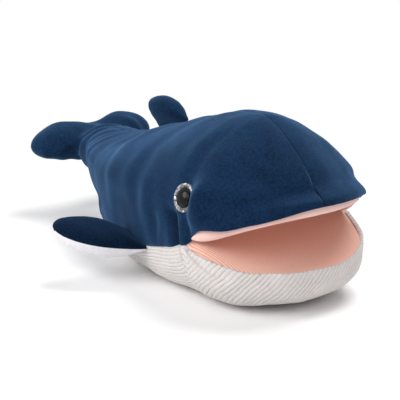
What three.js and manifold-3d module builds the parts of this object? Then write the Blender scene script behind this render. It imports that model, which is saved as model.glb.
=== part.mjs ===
// Whale hand puppet: plush covers, padded mouth, hand sleeve, fins and flukes as separate sewn pieces.
// Millimetres, +Z up. The head points along -Y, the whale's left side is +X, and it lies on Z = 0.
// Inside the group, the mouth folds about a line along X, above Y = 0.
// The part's origin is under the belly's middle.
import * as THREE from "three";
import { mergeVertices } from "three/addons/utils/BufferGeometryUtils.js";
import Module from "manifold-3d";

const wasm = await Module();
wasm.setup();

// Sewing allowances
const SEAM_GAP = 0.3; // between pieces that are sewn or laid against each other
const COVER_WALL = 5; // plush with its bonded wadding
const LINING_WALL = 1.5;
const FIN_WALL = 2.5;
const FLAT_CUT = 0.5; // how deep the rounded belly is pressed flat by the floor

// Head and mouth
const HEAD_HALF_WIDTH = 76;
const HEAD_TOP = 142;
const MOUTH_DEPTH = 72;
const HINGE_Z = 59;
const UPPER_LIP_RISE = 18; // degrees, at rest
const LOWER_LIP_DROP = 17; // degrees, at rest
const PALATE_CLEARANCE = 1.5; // from the hinge line to each palate's face
const PALATE_PAD = 5;
const PALATE_BOARD = 2.5;
const MOUTH_FOLD_RADIUS = 5;
const JAW_SEAM_LEAN = 12; // degrees, the jaw's rear seam runs down and forward from the hinge
const BELLY_SEAM_LEAN = -6; // degrees, the belly's front seam runs down and back
const GUSSET_LIFT = 1; // the folded throat stays off the floor

// Body, from the mouth back to the tail
const MID_Y = 120;
const MID_HALF_WIDTH = 68;
const MID_TOP = 114;
const RUMP_Y = 190;
const RUMP_HALF_WIDTH = 50;
const RUMP_TOP = 92;
const RUMP_BOTTOM = 13;
const TAIL_Y = 258;
const TAIL_HALF_WIDTH = 24;
const TAIL_TOP = 84;
const TAIL_BOTTOM = 52;
const TAIL_ROUND = 16;
const SIDE_SEAM_FRONT_Z = 54;
const SIDE_SEAM_MID_Y = 90;
const SIDE_SEAM_MID_Z = 30; // the seam bends towards this height
const SIDE_SEAM_REAR_Z = 20;
const BELLY_END_Y = 160;

// Hand opening, sleeve and pockets
const OPENING_Y = 184;
const OPENING_HALF_WIDTH = 42;
const OPENING_HALF_LENGTH = 34;
const OPENING_CUT_TOP = 44;
const BINDING_RADIUS = 3.2;
const HEAD_STUFFING_BACK = 36;
const TAIL_STUFFING_FRONT = 224;
const FINGER_POCKET_LENGTH = 47;
const FINGER_POCKET_HALF_WIDTH = 50;
const FINGER_POCKET_HEIGHT = 28;
const THUMB_POCKET_LENGTH = 50;
const THUMB_POCKET_HALF_WIDTH = 24;
const THUMB_POCKET_HEIGHT = 24;

// Eyes
const EYE_Y = 2;
const EYE_HEIGHT = 87;
const EYE_FORWARD_TURN = 6; // degrees
const EYE_RING_RADIUS = 12;
const EYE_RING_THICKNESS = 2.2;
const EYE_PUPIL_RADIUS = 8;
const EYE_PUPIL_HEIGHT = 5;
const EYE_SHANK_RADIUS = 2;
const EYE_SHANK_LENGTH = 11;
const EYE_SEAT_DEPTH = 2;
const EYE_WASHER_RADIUS = 7;
const EYE_WASHER_THICKNESS = 2;

// Pectoral fins, dorsal fin and flukes: root chord, widest chord, thickness, reach and sweep
const PECTORAL = { reach: 62, rootChord: 42, chord: 46, thickness: 23, sweep: 24, sweepPower: 1.2 };
const PECTORAL_ROOT_Y = 80;
const PECTORAL_ROOT_Z = 32;
const PECTORAL_PITCH = -14; // degrees, leading edge up when positive
const PECTORAL_DIHEDRAL = -6; // degrees, tip down when positive
const DORSAL = { reach: 26, rootChord: 42, chord: 44, thickness: 18, sweep: 15, sweepPower: 1.2 };
const DORSAL_ROOT_Y = 135;
const PECTORAL_SEAT = -0.2; // from the smooth side, outside its facets
const DORSAL_SEAT = 0.3;
const FIN_PINCH = 5; // thickness where a fin is sewn to the body
const FLUKE_HALF_SPAN = 58;
const FLUKE_ROOT_CHORD = 44;
const FLUKE_CHORD = 54;
const FLUKE_SWEEP = 10;
const FLUKE_DROP = 3; // under the middle of the tail
const FLUKE_PITCH = 9; // degrees, rear edge up
const FLUKE_THICKNESS = 30;
const FLUKE_ROOT_THICKNESS = 25;

// Facets
const ARC_STEPS = 10; // over half a cross-section
const HEAD_STATIONS = 8;
const BODY_STATIONS = 11;
const FIN_STATIONS = 8;
const FIN_ARC_STEPS = 7;
const ROUND_STEPS = 20;
const POCKET_STEPS = 8; // over half a pocket's ring

// Shape exponents: 2 is an ellipse, and more is squarer
const PLAN_POWER = 2.05;
const CROWN_POWER = 1.2;
const CHIN_POWER = 2.8;
const BACK_ARC_POWER = 2;
const SNOUT_ARC_POWER = 1.75;
const JAW_ARC_POWER = 3.2;
const BELLY_ARC_POWER = 4.8;
const TAIL_ARC_POWER = 2.2;
const POCKET_POWER = 3;
const FIN_TIP_POWER = 2.2;
const FLUKE_SWEEP_POWER = 1.6;

// Where along its reach a fin is widest, and where each form stops short of a point
const LEAF_WIDEST_AT = 0.45;
const FLUKE_WIDEST_AT = 0.5;
const LEAF_END = 0.995;
const FLUKE_END = 0.985;
const THINNEST = 0.3; // half of the least chord or thickness near a tip

const REACH_PAST = 30; // how far a cutting solid runs past what it cuts
const FAR = 600;
const REST_Y = 60; // the part's origin, behind the mouth's fold
const rad = THREE.MathUtils.degToRad;

// Solids

function toSolid(geometry) {
  const bare = geometry.clone();
  bare.deleteAttribute("normal");
  bare.deleteAttribute("uv");
  const merged = mergeVertices(bare, 1e-4);
  return new wasm.Manifold(
    new wasm.Mesh({
      numProp: 3,
      vertProperties: new Float32Array(merged.attributes.position.array),
      triVerts: new Uint32Array(merged.index.array),
    }),
  );
}

function toGeometry(solid) {
  const mesh = solid.getMesh();
  return new THREE.BufferGeometry()
    .setAttribute("position", new THREE.BufferAttribute(mesh.vertProperties, 3))
    .setIndex(new THREE.BufferAttribute(mesh.triVerts, 1));
}

// The same piece for the other side of the body.
function mirrored(geometry) {
  const copy = geometry.clone().scale(-1, 1, 1);
  const index = copy.index.array;
  for (let i = 0; i < index.length; i += 3) [index[i + 1], index[i + 2]] = [index[i + 2], index[i + 1]];
  return copy;
}

// A closed skin over rings of equally many points, with a fan to a point at each end.
// The two sides of the body are split into triangles alike.
function loft(rings, isLoop = false) {
  const count = rings[0].length;
  const points = rings.flat();
  const faces = [];
  const lastJoin = isLoop ? rings.length : rings.length - 1;
  for (let i = 0; i < lastJoin; i++) {
    const here = i * count;
    const next = ((i + 1) % rings.length) * count;
    for (let j = 0; j < count; j++) {
      const k = (j + 1) % count;
      const isLeft = points[here + j].x + points[here + k].x > 0;
      if (isLeft) faces.push(here + j, here + k, next + k, here + j, next + k, next + j);
      else faces.push(here + j, here + k, next + j, here + k, next + k, next + j);
    }
  }
  if (!isLoop) {
    for (const [ring, start, isFirst] of [
      [rings[0], 0, true],
      [rings[rings.length - 1], (rings.length - 1) * count, false],
    ]) {
      const middle = points.length;
      points.push(ring.reduce((sum, p) => sum.add(p), new THREE.Vector3()).divideScalar(count));
      for (let j = 0; j < count; j++) {
        const k = (j + 1) % count;
        if (isFirst) faces.push(middle, start + k, start + j);
        else faces.push(middle, start + j, start + k);
      }
    }
  }
  if (signedVolume(points, faces) < 0) faces.reverse();
  return new THREE.BufferGeometry().setFromPoints(points).setIndex(faces);
}

// Negative when the faces point inwards.
function signedVolume(points, faces) {
  let total = 0;
  for (let i = 0; i < faces.length; i += 3) {
    const [a, b, c] = [points[faces[i]], points[faces[i + 1]], points[faces[i + 2]]];
    total += a.dot(new THREE.Vector3().crossVectors(b, c));
  }
  return total;
}

function box(low, high) {
  const size = new THREE.Vector3().subVectors(high, low);
  const middle = new THREE.Vector3().addVectors(low, high).divideScalar(2);
  return toSolid(new THREE.BoxGeometry(size.x, size.y, size.z).translate(middle.x, middle.y, middle.z));
}

// Everything in front of a plane through the hinge line that leans forward as it goes down.
function inFrontOfHingePlane(lean, shift = 0) {
  const block = new THREE.BoxGeometry(FAR, FAR, FAR).translate(0, -FAR / 2, 0);
  return toSolid(block.rotateX(-rad(lean)).translate(0, shift, HINGE_Z));
}

// Curves

// A smooth function through [position, value] points. It can start level.
function smoothProfile(points, startsLevel = false) {
  const slopes = points.map((p, i) => {
    if (i === 0 && startsLevel) return 0;
    const before = points[Math.max(i - 1, 0)];
    const after = points[Math.min(i + 1, points.length - 1)];
    return (after[1] - before[1]) / (after[0] - before[0]);
  });
  return (at) => {
    let i = points.findIndex((p) => p[0] >= at);
    i = Math.min(Math.max(i < 0 ? points.length - 1 : i, 1), points.length - 1);
    const [x0, v0] = points[i - 1];
    const [x1, v1] = points[i];
    const span = x1 - x0;
    const t = Math.min(Math.max((at - x0) / span, 0), 1);
    const rise = v0 + (v1 - v0) * t * t * (3 - 2 * t);
    return rise + span * t * (1 - t) * (slopes[i - 1] * (1 - t) - slopes[i] * t);
  };
}

const power = (value, exponent) => Math.sign(value) * Math.abs(value) ** exponent;
// The height of a superellipse of unit size above a point along its width.
const arch = (along, exponent) => Math.max(1 - Math.min(Math.abs(along), 1) ** exponent, 0) ** (1 / exponent);

const lipEdge = PALATE_CLEARANCE + PALATE_PAD + SEAM_GAP; // the plush edge above the hinge line
const tailZ = (TAIL_TOP + TAIL_BOTTOM) / 2;
const bodyHalfWidth = smoothProfile([
  [0, HEAD_HALF_WIDTH],
  [MID_Y, MID_HALF_WIDTH],
  [RUMP_Y, RUMP_HALF_WIDTH],
  [TAIL_Y, TAIL_HALF_WIDTH],
]);
const bodyTop = smoothProfile(
  [
    [0, HEAD_TOP],
    [MID_Y, MID_TOP],
    [RUMP_Y, RUMP_TOP],
    [TAIL_Y, TAIL_TOP],
  ],
  true,
);
const bodyBottom = smoothProfile([
  [0, -FLAT_CUT],
  [MID_Y, -FLAT_CUT],
  [RUMP_Y, RUMP_BOTTOM],
  [TAIL_Y, TAIL_BOTTOM],
]);
const bodyWidest = smoothProfile([
  [0, HINGE_Z + lipEdge],
  [TAIL_Y, tailZ],
]);
const lowerPower = smoothProfile([
  [0, BELLY_ARC_POWER],
  [MID_Y, BELLY_ARC_POWER],
  [TAIL_Y, TAIL_ARC_POWER],
]);
const upperPower = smoothProfile([
  [-MOUTH_DEPTH, SNOUT_ARC_POWER],
  [0, BACK_ARC_POWER],
  [TAIL_Y, BACK_ARC_POWER],
]);
const forward = (y) => Math.max(-y, 0);
const upperPlane = (y) => HINGE_Z + forward(y) * Math.tan(rad(UPPER_LIP_RISE));
const lowerPlane = (y) => HINGE_Z - forward(y) * Math.tan(rad(LOWER_LIP_DROP));
const mouthHalfWidth = (y, inset) =>
  (HEAD_HALF_WIDTH - inset) * arch(forward(y) / (MOUTH_DEPTH - inset), PLAN_POWER);

// Cross-sections of the head and body, taken in by an inset

function upperSection(y, inset) {
  if (y < 0) {
    const edge = upperPlane(y) + lipEdge;
    const crown = HEAD_TOP - HINGE_Z - lipEdge - inset;
    const top = edge + crown * arch(forward(y) / (MOUTH_DEPTH - inset), CROWN_POWER);
    return { halfWidth: mouthHalfWidth(y, inset), edge, top };
  }
  const rounding = tailRounding(y, inset);
  const edge = bodyWidest(y);
  return {
    halfWidth: (bodyHalfWidth(y) - inset) * rounding,
    edge,
    top: edge + (bodyTop(y) - edge - inset) * rounding,
    bottom: edge - (edge - bodyBottom(y) - inset) * rounding,
  };
}

function tailRounding(y, inset) {
  const into = (y - (TAIL_Y - TAIL_ROUND)) / (TAIL_ROUND - inset / 2);
  return into > 0 ? arch(into, 2) : 1;
}

// Half a ring: over the top from left to right, or back underneath from right to left.
function halfRing(y, halfWidth, edge, height, exponent, isUnder = false) {
  const side = isUnder ? -1 : 1;
  return Array.from({ length: ARC_STEPS }, (_, j) => {
    const angle = (Math.PI * j) / ARC_STEPS;
    const x = side * halfWidth * power(Math.cos(angle), 2 / exponent);
    return new THREE.Vector3(x, y, edge + side * height * power(Math.sin(angle), 2 / exponent));
  });
}

// The head in front of the hinge has a flat underside, and the body behind it is whole.
function coverRing(y, inset, wholeFrom, openDown) {
  const { halfWidth, edge, top, bottom } = upperSection(y, inset);
  const isWhole = y >= wholeFrom;
  const flat = isWhole ? edge : edge - openDown;
  const depth = isWhole ? edge - bottom : 0;
  return [
    ...halfRing(y, halfWidth, edge, top - edge, upperPower(y)),
    ...halfRing(y, halfWidth, flat, depth, lowerPower(y), true),
  ];
}

function headStations(inset) {
  const depth = MOUTH_DEPTH - inset;
  return Array.from(
    { length: HEAD_STATIONS },
    (_, i) => -depth * Math.sin((Math.PI / 2) * ((HEAD_STATIONS - i - 0.35) / HEAD_STATIONS)),
  );
}

function bodyStations(inset) {
  const round = TAIL_Y - TAIL_ROUND;
  const along = Array.from({ length: BODY_STATIONS }, (_, i) => (round * i) / (BODY_STATIONS - 1));
  const end = [0.35, 0.65, 0.88, 0.98].map((share) => round + (TAIL_ROUND - inset / 2) * share);
  return [...along, ...end];
}

const THROAT_STEP = 3; // the belly reaches full depth this far behind the hinge

function coverForm(inset, openDown = 0) {
  const wholeFrom = inset > 0 ? 0 : THROAT_STEP;
  const stations = [...headStations(inset), 0, THROAT_STEP, ...bodyStations(inset).slice(1)];
  return toSolid(loft(stations.map((y) => coverRing(y, inset, wholeFrom, openDown))));
}

// The lower jaw, carried a little behind the hinge so that the throat can be cut from it.
function jawForm(inset, openUp = 0) {
  const rim = (y) => lowerPlane(y) - PALATE_CLEARANCE;
  const stations = [...headStations(inset), 0, REACH_PAST / 2];
  const rings = stations.map((y) => {
    const halfWidth = mouthHalfWidth(y, inset);
    const chin = arch(forward(y) / (MOUTH_DEPTH - inset), CHIN_POWER);
    const depth = (rim(y) + FLAT_CUT - inset) * chin;
    return [
      ...halfRing(y, halfWidth, rim(y) + openUp, 0, JAW_ARC_POWER),
      ...halfRing(y, halfWidth, rim(y), depth, JAW_ARC_POWER, true),
    ];
  });
  return toSolid(loft(rings));
}

// Both palates end against the fold.
const palateBack = -Math.sqrt((MOUTH_FOLD_RADIUS + SEAM_GAP) ** 2 - PALATE_CLEARANCE ** 2);

// A flat pad that follows the mouth's outline, with a round rim.
function palatePad(plane, bottom, top, inset) {
  const radius = (top - bottom) / 2;
  const stations = [...headStations(inset).filter((y) => y < palateBack - 1), palateBack];
  const rimSteps = 6;
  const rings = stations.map((y) => {
    const centre = Math.max(mouthHalfWidth(y, inset) - radius, radius / 4);
    const middle = plane(y) + (bottom + top) / 2;
    return [1, -1].flatMap((side) =>
      Array.from({ length: rimSteps + 1 }, (_, j) => {
        const angle = (Math.PI * j) / rimSteps - Math.PI / 2;
        const x = side * (centre + radius * Math.cos(angle));
        return new THREE.Vector3(x, y, middle + side * radius * Math.sin(angle));
      }),
    );
  });
  return loft(rings);
}

// A thin stiffener with the mouth's outline.
function palateBoard(plane, bottom, top, inset) {
  const stations = [...headStations(inset).filter((y) => y < palateBack - 1), palateBack];
  const rings = stations.map((y) => {
    const halfWidth = mouthHalfWidth(y, inset);
    return [
      new THREE.Vector3(halfWidth, y, plane(y) + bottom),
      new THREE.Vector3(halfWidth, y, plane(y) + top),
      new THREE.Vector3(-halfWidth, y, plane(y) + top),
      new THREE.Vector3(-halfWidth, y, plane(y) + bottom),
    ];
  });
  return loft(rings);
}

// A hand's pocket: a flattened bag that is open at the back, grown or taken in by a wall.
function pocketForm({ base, upward, length, back, halfWidth, height, grow, past }) {
  const count = 7;
  const from = -(length + grow);
  const ring = (y, round) => {
    const half = (halfWidth + grow) * round;
    const tall = (height / 2 + grow) * round;
    const middle = base(y) + (upward * height) / 2;
    return Array.from({ length: 2 * POCKET_STEPS }, (_, j) => {
      const angle = (Math.PI * j) / POCKET_STEPS;
      const x = half * power(Math.cos(angle), 2 / POCKET_POWER);
      return new THREE.Vector3(x, y, middle + tall * power(Math.sin(angle), 2 / POCKET_POWER));
    });
  };
  const rings = Array.from({ length: count + 1 }, (_, i) => {
    const share = 1 - Math.cos((Math.PI / 2) * (i / count));
    const y = from + (back - from) * share;
    return ring(y, arch(1 - Math.min(0.06 + share * 3, 1), 2));
  });
  if (past > 0) rings.push(ring(back + past, 1));
  return toSolid(loft(rings));
}

// A stuffed leaf: reach along +X, chord along Y, thickness along Z, pinched where it is sewn on.
function leafForm({ reach, rootChord, chord, thickness, sweep, sweepPower }, inset, from = 0) {
  const rings = [];
  for (let i = 0; i <= FIN_STATIONS; i++) {
    const share = from + (LEAF_END - from) * Math.sin((Math.PI / 2) * (i / FIN_STATIONS));
    const grown = Math.sin((Math.PI / 2) * Math.min(share / LEAF_WIDEST_AT, 1));
    const tip = arch(Math.max((share - LEAF_WIDEST_AT) / (1 - LEAF_WIDEST_AT), 0), FIN_TIP_POWER);
    const halfChord = ((rootChord + (chord - rootChord) * grown) / 2) * tip - inset;
    const pinch = i === 0 && from === 0 ? FIN_PINCH / 4 : FIN_PINCH;
    const half = ((pinch + (thickness - pinch) * grown) / 2) * tip - inset;
    const middle = sweep * share ** sweepPower;
    rings.push(leafRing(reach * share, middle, Math.max(halfChord, THINNEST), Math.max(half, THINNEST)));
  }
  return toSolid(loft(rings));
}

function leafRing(x, middle, halfChord, halfThickness) {
  return Array.from({ length: 2 * FIN_ARC_STEPS }, (_, j) => {
    const angle = (Math.PI * j) / FIN_ARC_STEPS;
    return new THREE.Vector3(x, middle + halfChord * Math.cos(angle), halfThickness * Math.sin(angle));
  });
}

// Both flukes in one stuffed piece, lofted across the tail, with its front edge at Y = 0.
function flukeForm(inset) {
  const rings = [];
  for (let i = -FIN_STATIONS; i <= FIN_STATIONS; i++) {
    const share = Math.sin(((Math.PI / 2) * i * FLUKE_END) / FIN_STATIONS);
    const out = Math.abs(share);
    const lobe = Math.sin((Math.PI / 2) * Math.min(out / FLUKE_WIDEST_AT, 1));
    const tip = arch(Math.max((out - FLUKE_WIDEST_AT) / (1 - FLUKE_WIDEST_AT), 0), FIN_TIP_POWER);
    const fullChord = FLUKE_ROOT_CHORD + (FLUKE_CHORD - FLUKE_ROOT_CHORD) * lobe;
    const fullThickness = FLUKE_ROOT_THICKNESS + (FLUKE_THICKNESS - FLUKE_ROOT_THICKNESS) * lobe;
    const middle = fullChord / 2 + FLUKE_SWEEP * out ** FLUKE_SWEEP_POWER;
    const halfChord = Math.max((fullChord / 2) * tip - inset, THINNEST);
    const half = Math.max((fullThickness / 2) * tip - inset, THINNEST);
    rings.push(leafRing((FLUKE_HALF_SPAN - inset) * share, middle, halfChord, half));
  }
  return toSolid(loft(rings));
}

// Materials

const material = (color, roughness, metalness = 0) =>
  new THREE.MeshStandardMaterial({ color, roughness, metalness });
const NAVY_PLUSH = material(0x27426b, 0.95);
const WHITE_RIB = material(0xe4dedc, 0.95);
const WHITE_PLUSH = material(0xe8e2e6, 0.95);
const PINK_JERSEY = material(0xd9a698, 0.9);
const LINING_CLOTH = material(0x2b4064, 0.85);
const FIBRE_FILL = material(0xf0eee8, 1);
const STIFF_FOAM = material(0xe9e4da, 0.9);
const BLACK_PLASTIC = material(0x121013, 0.12);
const SILVER_GLITTER = material(0xb9b8bc, 0.3, 0.9);
const PALE_PLASTIC = material(0xdedad2, 0.5);

const whale = new THREE.Group();

function addPiece(name, geometry, finish, parent = whale) {
  const mesh = new THREE.Mesh(geometry, finish);
  mesh.name = name;
  parent.add(mesh);
  return mesh;
}

// A pair of pieces: the given one on the left, and its mirror image on the right.
function addPair(name, geometry, finish) {
  addPiece(`${name}_left`, geometry, finish);
  addPiece(`${name}_right`, mirrored(geometry), finish);
}

// Regions

const leftHalf = box(new THREE.Vector3(SEAM_GAP / 2, -FAR, -FAR), new THREE.Vector3(FAR, FAR, FAR));
const aboveFloor = box(new THREE.Vector3(-FAR, -FAR, 0), new THREE.Vector3(FAR, FAR, FAR));
const below = (z) => box(new THREE.Vector3(-FAR, -FAR, -FAR), new THREE.Vector3(FAR, FAR, z));
const behind = (y) => box(new THREE.Vector3(-FAR, y, -FAR), new THREE.Vector3(FAR, FAR, FAR));

// What lies under the side seam, from the throat to the belly's rear hem.
function underSideSeam(grow) {
  const outline = new THREE.Shape();
  outline.moveTo(-FAR, -FAR);
  outline.lineTo(BELLY_END_Y + grow, -FAR);
  outline.lineTo(BELLY_END_Y + grow, SIDE_SEAM_REAR_Z + grow);
  outline.quadraticCurveTo(SIDE_SEAM_MID_Y, SIDE_SEAM_MID_Z + grow, 0, SIDE_SEAM_FRONT_Z + grow);
  outline.lineTo(-FAR, SIDE_SEAM_FRONT_Z + grow);
  const slab = new THREE.ExtrudeGeometry(outline, { depth: 2 * FAR, bevelEnabled: false, curveSegments: 8 });
  const sideways = new THREE.Matrix4().makeBasis(
    new THREE.Vector3(0, 1, 0),
    new THREE.Vector3(0, 0, 1),
    new THREE.Vector3(1, 0, 0),
  );
  return toSolid(slab.translate(0, 0, -FAR).applyMatrix4(sideways));
}

// The hand opening, straight up through the underside in front of the tail.
const openingShaft = toSolid(
  new THREE.CylinderGeometry(1, 1, FAR, 2 * ROUND_STEPS)
    .rotateX(Math.PI / 2)
    .scale(OPENING_HALF_WIDTH, OPENING_HALF_LENGTH, 1)
    .translate(0, OPENING_Y, OPENING_CUT_TOP - FAR / 2),
);

// Eyes: the same axis carries the seat in the plush, the shank's hole, the ring, the pupil and the washer

function eyeFrame() {
  const { halfWidth, edge, top } = upperSection(EYE_Y, 0);
  const share = (EYE_HEIGHT - edge) / (top - edge);
  const at = new THREE.Vector3(halfWidth * arch(share, upperPower(EYE_Y)), EYE_Y, EYE_HEIGHT);
  const slope = 0.5;
  const lower = halfWidth * arch((EYE_HEIGHT - slope - edge) / (top - edge), upperPower(EYE_Y));
  const upper = halfWidth * arch((EYE_HEIGHT + slope - edge) / (top - edge), upperPower(EYE_Y));
  const tilt = Math.atan2(lower - upper, 2 * slope);
  const turn = rad(EYE_FORWARD_TURN);
  const level = Math.cos(tilt);
  const out = new THREE.Vector3(level * Math.cos(turn), -level * Math.sin(turn), Math.sin(tilt));
  const spin = new THREE.Quaternion().setFromUnitVectors(new THREE.Vector3(0, 0, 1), out);
  return new THREE.Matrix4().compose(at, spin, new THREE.Vector3(1, 1, 1));
}
const eyePlace = eyeFrame();

// A turned piece on the eye's axis, from [radius, height] points that start and end on the axis or close up.
function eyeTurning(profile) {
  const points = profile.map(([radius, height]) => new THREE.Vector2(radius, height));
  return new THREE.LatheGeometry(points, ROUND_STEPS).rotateX(Math.PI / 2).applyMatrix4(eyePlace);
}

const seatFloor = -EYE_SEAT_DEPTH;
const ringBack = seatFloor + SEAM_GAP;
const ringFront = ringBack + EYE_RING_THICKNESS;
const washerFace = seatFloor - COVER_WALL + EYE_SEAT_DEPTH - SEAM_GAP;
const shankEnd = ringFront - EYE_SHANK_LENGTH;
const eyeCylinder = (radius, low, high) =>
  toSolid(eyeTurning([[0, low], [radius, low], [radius, high], [0, high]]));

const eyeSeat = eyeCylinder(EYE_RING_RADIUS + SEAM_GAP, seatFloor, REACH_PAST)
  .add(eyeCylinder(EYE_SHANK_RADIUS + SEAM_GAP, -REACH_PAST, REACH_PAST))
  .add(eyeCylinder(EYE_WASHER_RADIUS + SEAM_GAP, -REACH_PAST, washerFace + SEAM_GAP));

const eyePupil = eyeTurning([
  [0, shankEnd],
  [EYE_SHANK_RADIUS, shankEnd],
  [EYE_SHANK_RADIUS, ringFront + SEAM_GAP],
  [EYE_PUPIL_RADIUS, ringFront + SEAM_GAP],
  ...[0.25, 0.5, 0.75].map((share) => [
    EYE_PUPIL_RADIUS * Math.cos((share * Math.PI) / 2),
    ringFront + SEAM_GAP + EYE_PUPIL_HEIGHT * Math.sin((share * Math.PI) / 2),
  ]),
  [0, ringFront + SEAM_GAP + EYE_PUPIL_HEIGHT],
]);
const shankHole = EYE_SHANK_RADIUS + SEAM_GAP;
const eyeRing = eyeTurning([
  [shankHole, ringBack],
  [EYE_RING_RADIUS, ringBack],
  [EYE_RING_RADIUS, ringBack + EYE_RING_THICKNESS / 2],
  [EYE_RING_RADIUS - EYE_RING_THICKNESS / 2, ringFront],
  [shankHole, ringFront],
  [shankHole, ringBack],
]);
const eyeWasher = eyeTurning([
  [shankHole, washerFace - EYE_WASHER_THICKNESS],
  [EYE_WASHER_RADIUS, washerFace - EYE_WASHER_THICKNESS],
  [EYE_WASHER_RADIUS, washerFace],
  [shankHole, washerFace],
  [shankHole, washerFace - EYE_WASHER_THICKNESS],
]);

// Covers: the navy back in two halves, the ribbed belly, the throat and the jaw

const coverShell = coverForm(0).subtract(coverForm(COVER_WALL, REACH_PAST)).intersect(aboveFloor);
const bellyCut = inFrontOfHingePlane(BELLY_SEAM_LEAN, SEAM_GAP).intersect(below(HINGE_Z));
const openCover = coverShell.subtract(bellyCut).subtract(openingShaft);
const backCover = openCover.subtract(underSideSeam(SEAM_GAP)).intersect(leftHalf).subtract(eyeSeat);
addPair("back_cover", toGeometry(backCover), NAVY_PLUSH);
addPiece("belly_panel", toGeometry(openCover.intersect(underSideSeam(0))), WHITE_RIB);

const jawShell = jawForm(0).subtract(jawForm(COVER_WALL, REACH_PAST));
const jawRegion = inFrontOfHingePlane(JAW_SEAM_LEAN);
const throat = jawShell
  .intersect(inFrontOfHingePlane(BELLY_SEAM_LEAN))
  .subtract(inFrontOfHingePlane(JAW_SEAM_LEAN, SEAM_GAP))
  .subtract(below(GUSSET_LIFT));
addPiece("throat_gusset", toGeometry(throat), WHITE_RIB);
addPiece("jaw_cover", toGeometry(jawShell.intersect(jawRegion).intersect(aboveFloor)), WHITE_RIB);

// Mouth: two padded palates on boards, and the fold of jersey that joins them

const upperPadBottom = PALATE_CLEARANCE;
const upperPadTop = upperPadBottom + PALATE_PAD;
const upperBoardTop = upperPadTop + SEAM_GAP + PALATE_BOARD;
addPiece("upper_palate", palatePad(upperPlane, upperPadBottom, upperPadTop, 0), PINK_JERSEY);
const insideHead = coverForm(COVER_WALL + SEAM_GAP, REACH_PAST);
const upperBoard = palateBoard(upperPlane, upperPadTop + SEAM_GAP, upperBoardTop, COVER_WALL + SEAM_GAP);
addPiece("upper_palate_board", toGeometry(toSolid(upperBoard).intersect(insideHead)), STIFF_FOAM);
const lowerPadBottom = -PALATE_CLEARANCE - PALATE_PAD;
const lowerBoardBottom = lowerPadBottom - SEAM_GAP - PALATE_BOARD;
const insideJaw = jawForm(COVER_WALL + SEAM_GAP, REACH_PAST);
const lowerPad = toSolid(palatePad(lowerPlane, lowerPadBottom, -PALATE_CLEARANCE, COVER_WALL + SEAM_GAP));
addPiece("lower_palate", toGeometry(lowerPad.intersect(insideJaw)), PINK_JERSEY);
const lowerBoard = palateBoard(lowerPlane, lowerBoardBottom, lowerPadBottom - SEAM_GAP, COVER_WALL + SEAM_GAP);
addPiece("lower_palate_board", toGeometry(toSolid(lowerBoard).intersect(insideJaw)), STIFF_FOAM);
const foldHalfLength = HEAD_HALF_WIDTH - COVER_WALL - LINING_WALL - 4 * SEAM_GAP;
addPiece(
  "mouth_fold",
  new THREE.CylinderGeometry(MOUTH_FOLD_RADIUS, MOUTH_FOLD_RADIUS, 2 * foldHalfLength, ROUND_STEPS)
    .rotateZ(Math.PI / 2)
    .translate(0, 0, HINGE_Z),
  PINK_JERSEY,
);

// Linings and filling

const fingerBase = (y) => upperPlane(y) + upperBoardTop + SEAM_GAP;
const fingerPocket = (grow, past) =>
  pocketForm({
    base: fingerBase,
    upward: 1,
    length: FINGER_POCKET_LENGTH,
    back: HEAD_STUFFING_BACK,
    halfWidth: FINGER_POCKET_HALF_WIDTH,
    height: FINGER_POCKET_HEIGHT,
    grow,
    past,
  });
addPiece(
  "finger_pocket",
  toGeometry(fingerPocket(0, 0).subtract(fingerPocket(-LINING_WALL, REACH_PAST))),
  LINING_CLOTH,
);

const underHeadStuffing = (shift) =>
  toSolid(
    palateBoard(upperPlane, -FAR, upperBoardTop + shift, -REACH_PAST),
  ).add(below(HINGE_Z + upperBoardTop + shift).intersect(behind(-MOUTH_FOLD_RADIUS - 2 * SEAM_GAP)));
const headStuffing = coverForm(COVER_WALL + SEAM_GAP)
  .subtract(underHeadStuffing(SEAM_GAP))
  .subtract(behind(HEAD_STUFFING_BACK))
  .subtract(fingerPocket(SEAM_GAP, REACH_PAST));
const eyeRoom = eyeCylinder(EYE_WASHER_RADIUS + 2 * SEAM_GAP, shankEnd - SEAM_GAP, REACH_PAST).add(
  eyeCylinder(EYE_RING_RADIUS + 2 * SEAM_GAP, seatFloor - SEAM_GAP, REACH_PAST),
);
const eyeRoomRight = toSolid(mirrored(toGeometry(eyeRoom)));
addPiece("head_stuffing", toGeometry(headStuffing.subtract(eyeRoom).subtract(eyeRoomRight)), FIBRE_FILL);

const liningInset = COVER_WALL + SEAM_GAP;
const liningShell = coverForm(liningInset).subtract(coverForm(liningInset + LINING_WALL, REACH_PAST));
const liningRegion = behind(HEAD_STUFFING_BACK + SEAM_GAP)
  .add(below(HINGE_Z + upperBoardTop).intersect(behind(0)))
  .subtract(behind(TAIL_STUFFING_FRONT - SEAM_GAP))
  .subtract(inFrontOfHingePlane(BELLY_SEAM_LEAN, SEAM_GAP).intersect(below(HINGE_Z)));
addPiece("sleeve_lining", toGeometry(liningShell.intersect(liningRegion).subtract(openingShaft)), LINING_CLOTH);
addPiece(
  "tail_stuffing",
  toGeometry(coverForm(COVER_WALL + SEAM_GAP).intersect(behind(TAIL_STUFFING_FRONT))),
  FIBRE_FILL,
);

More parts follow.
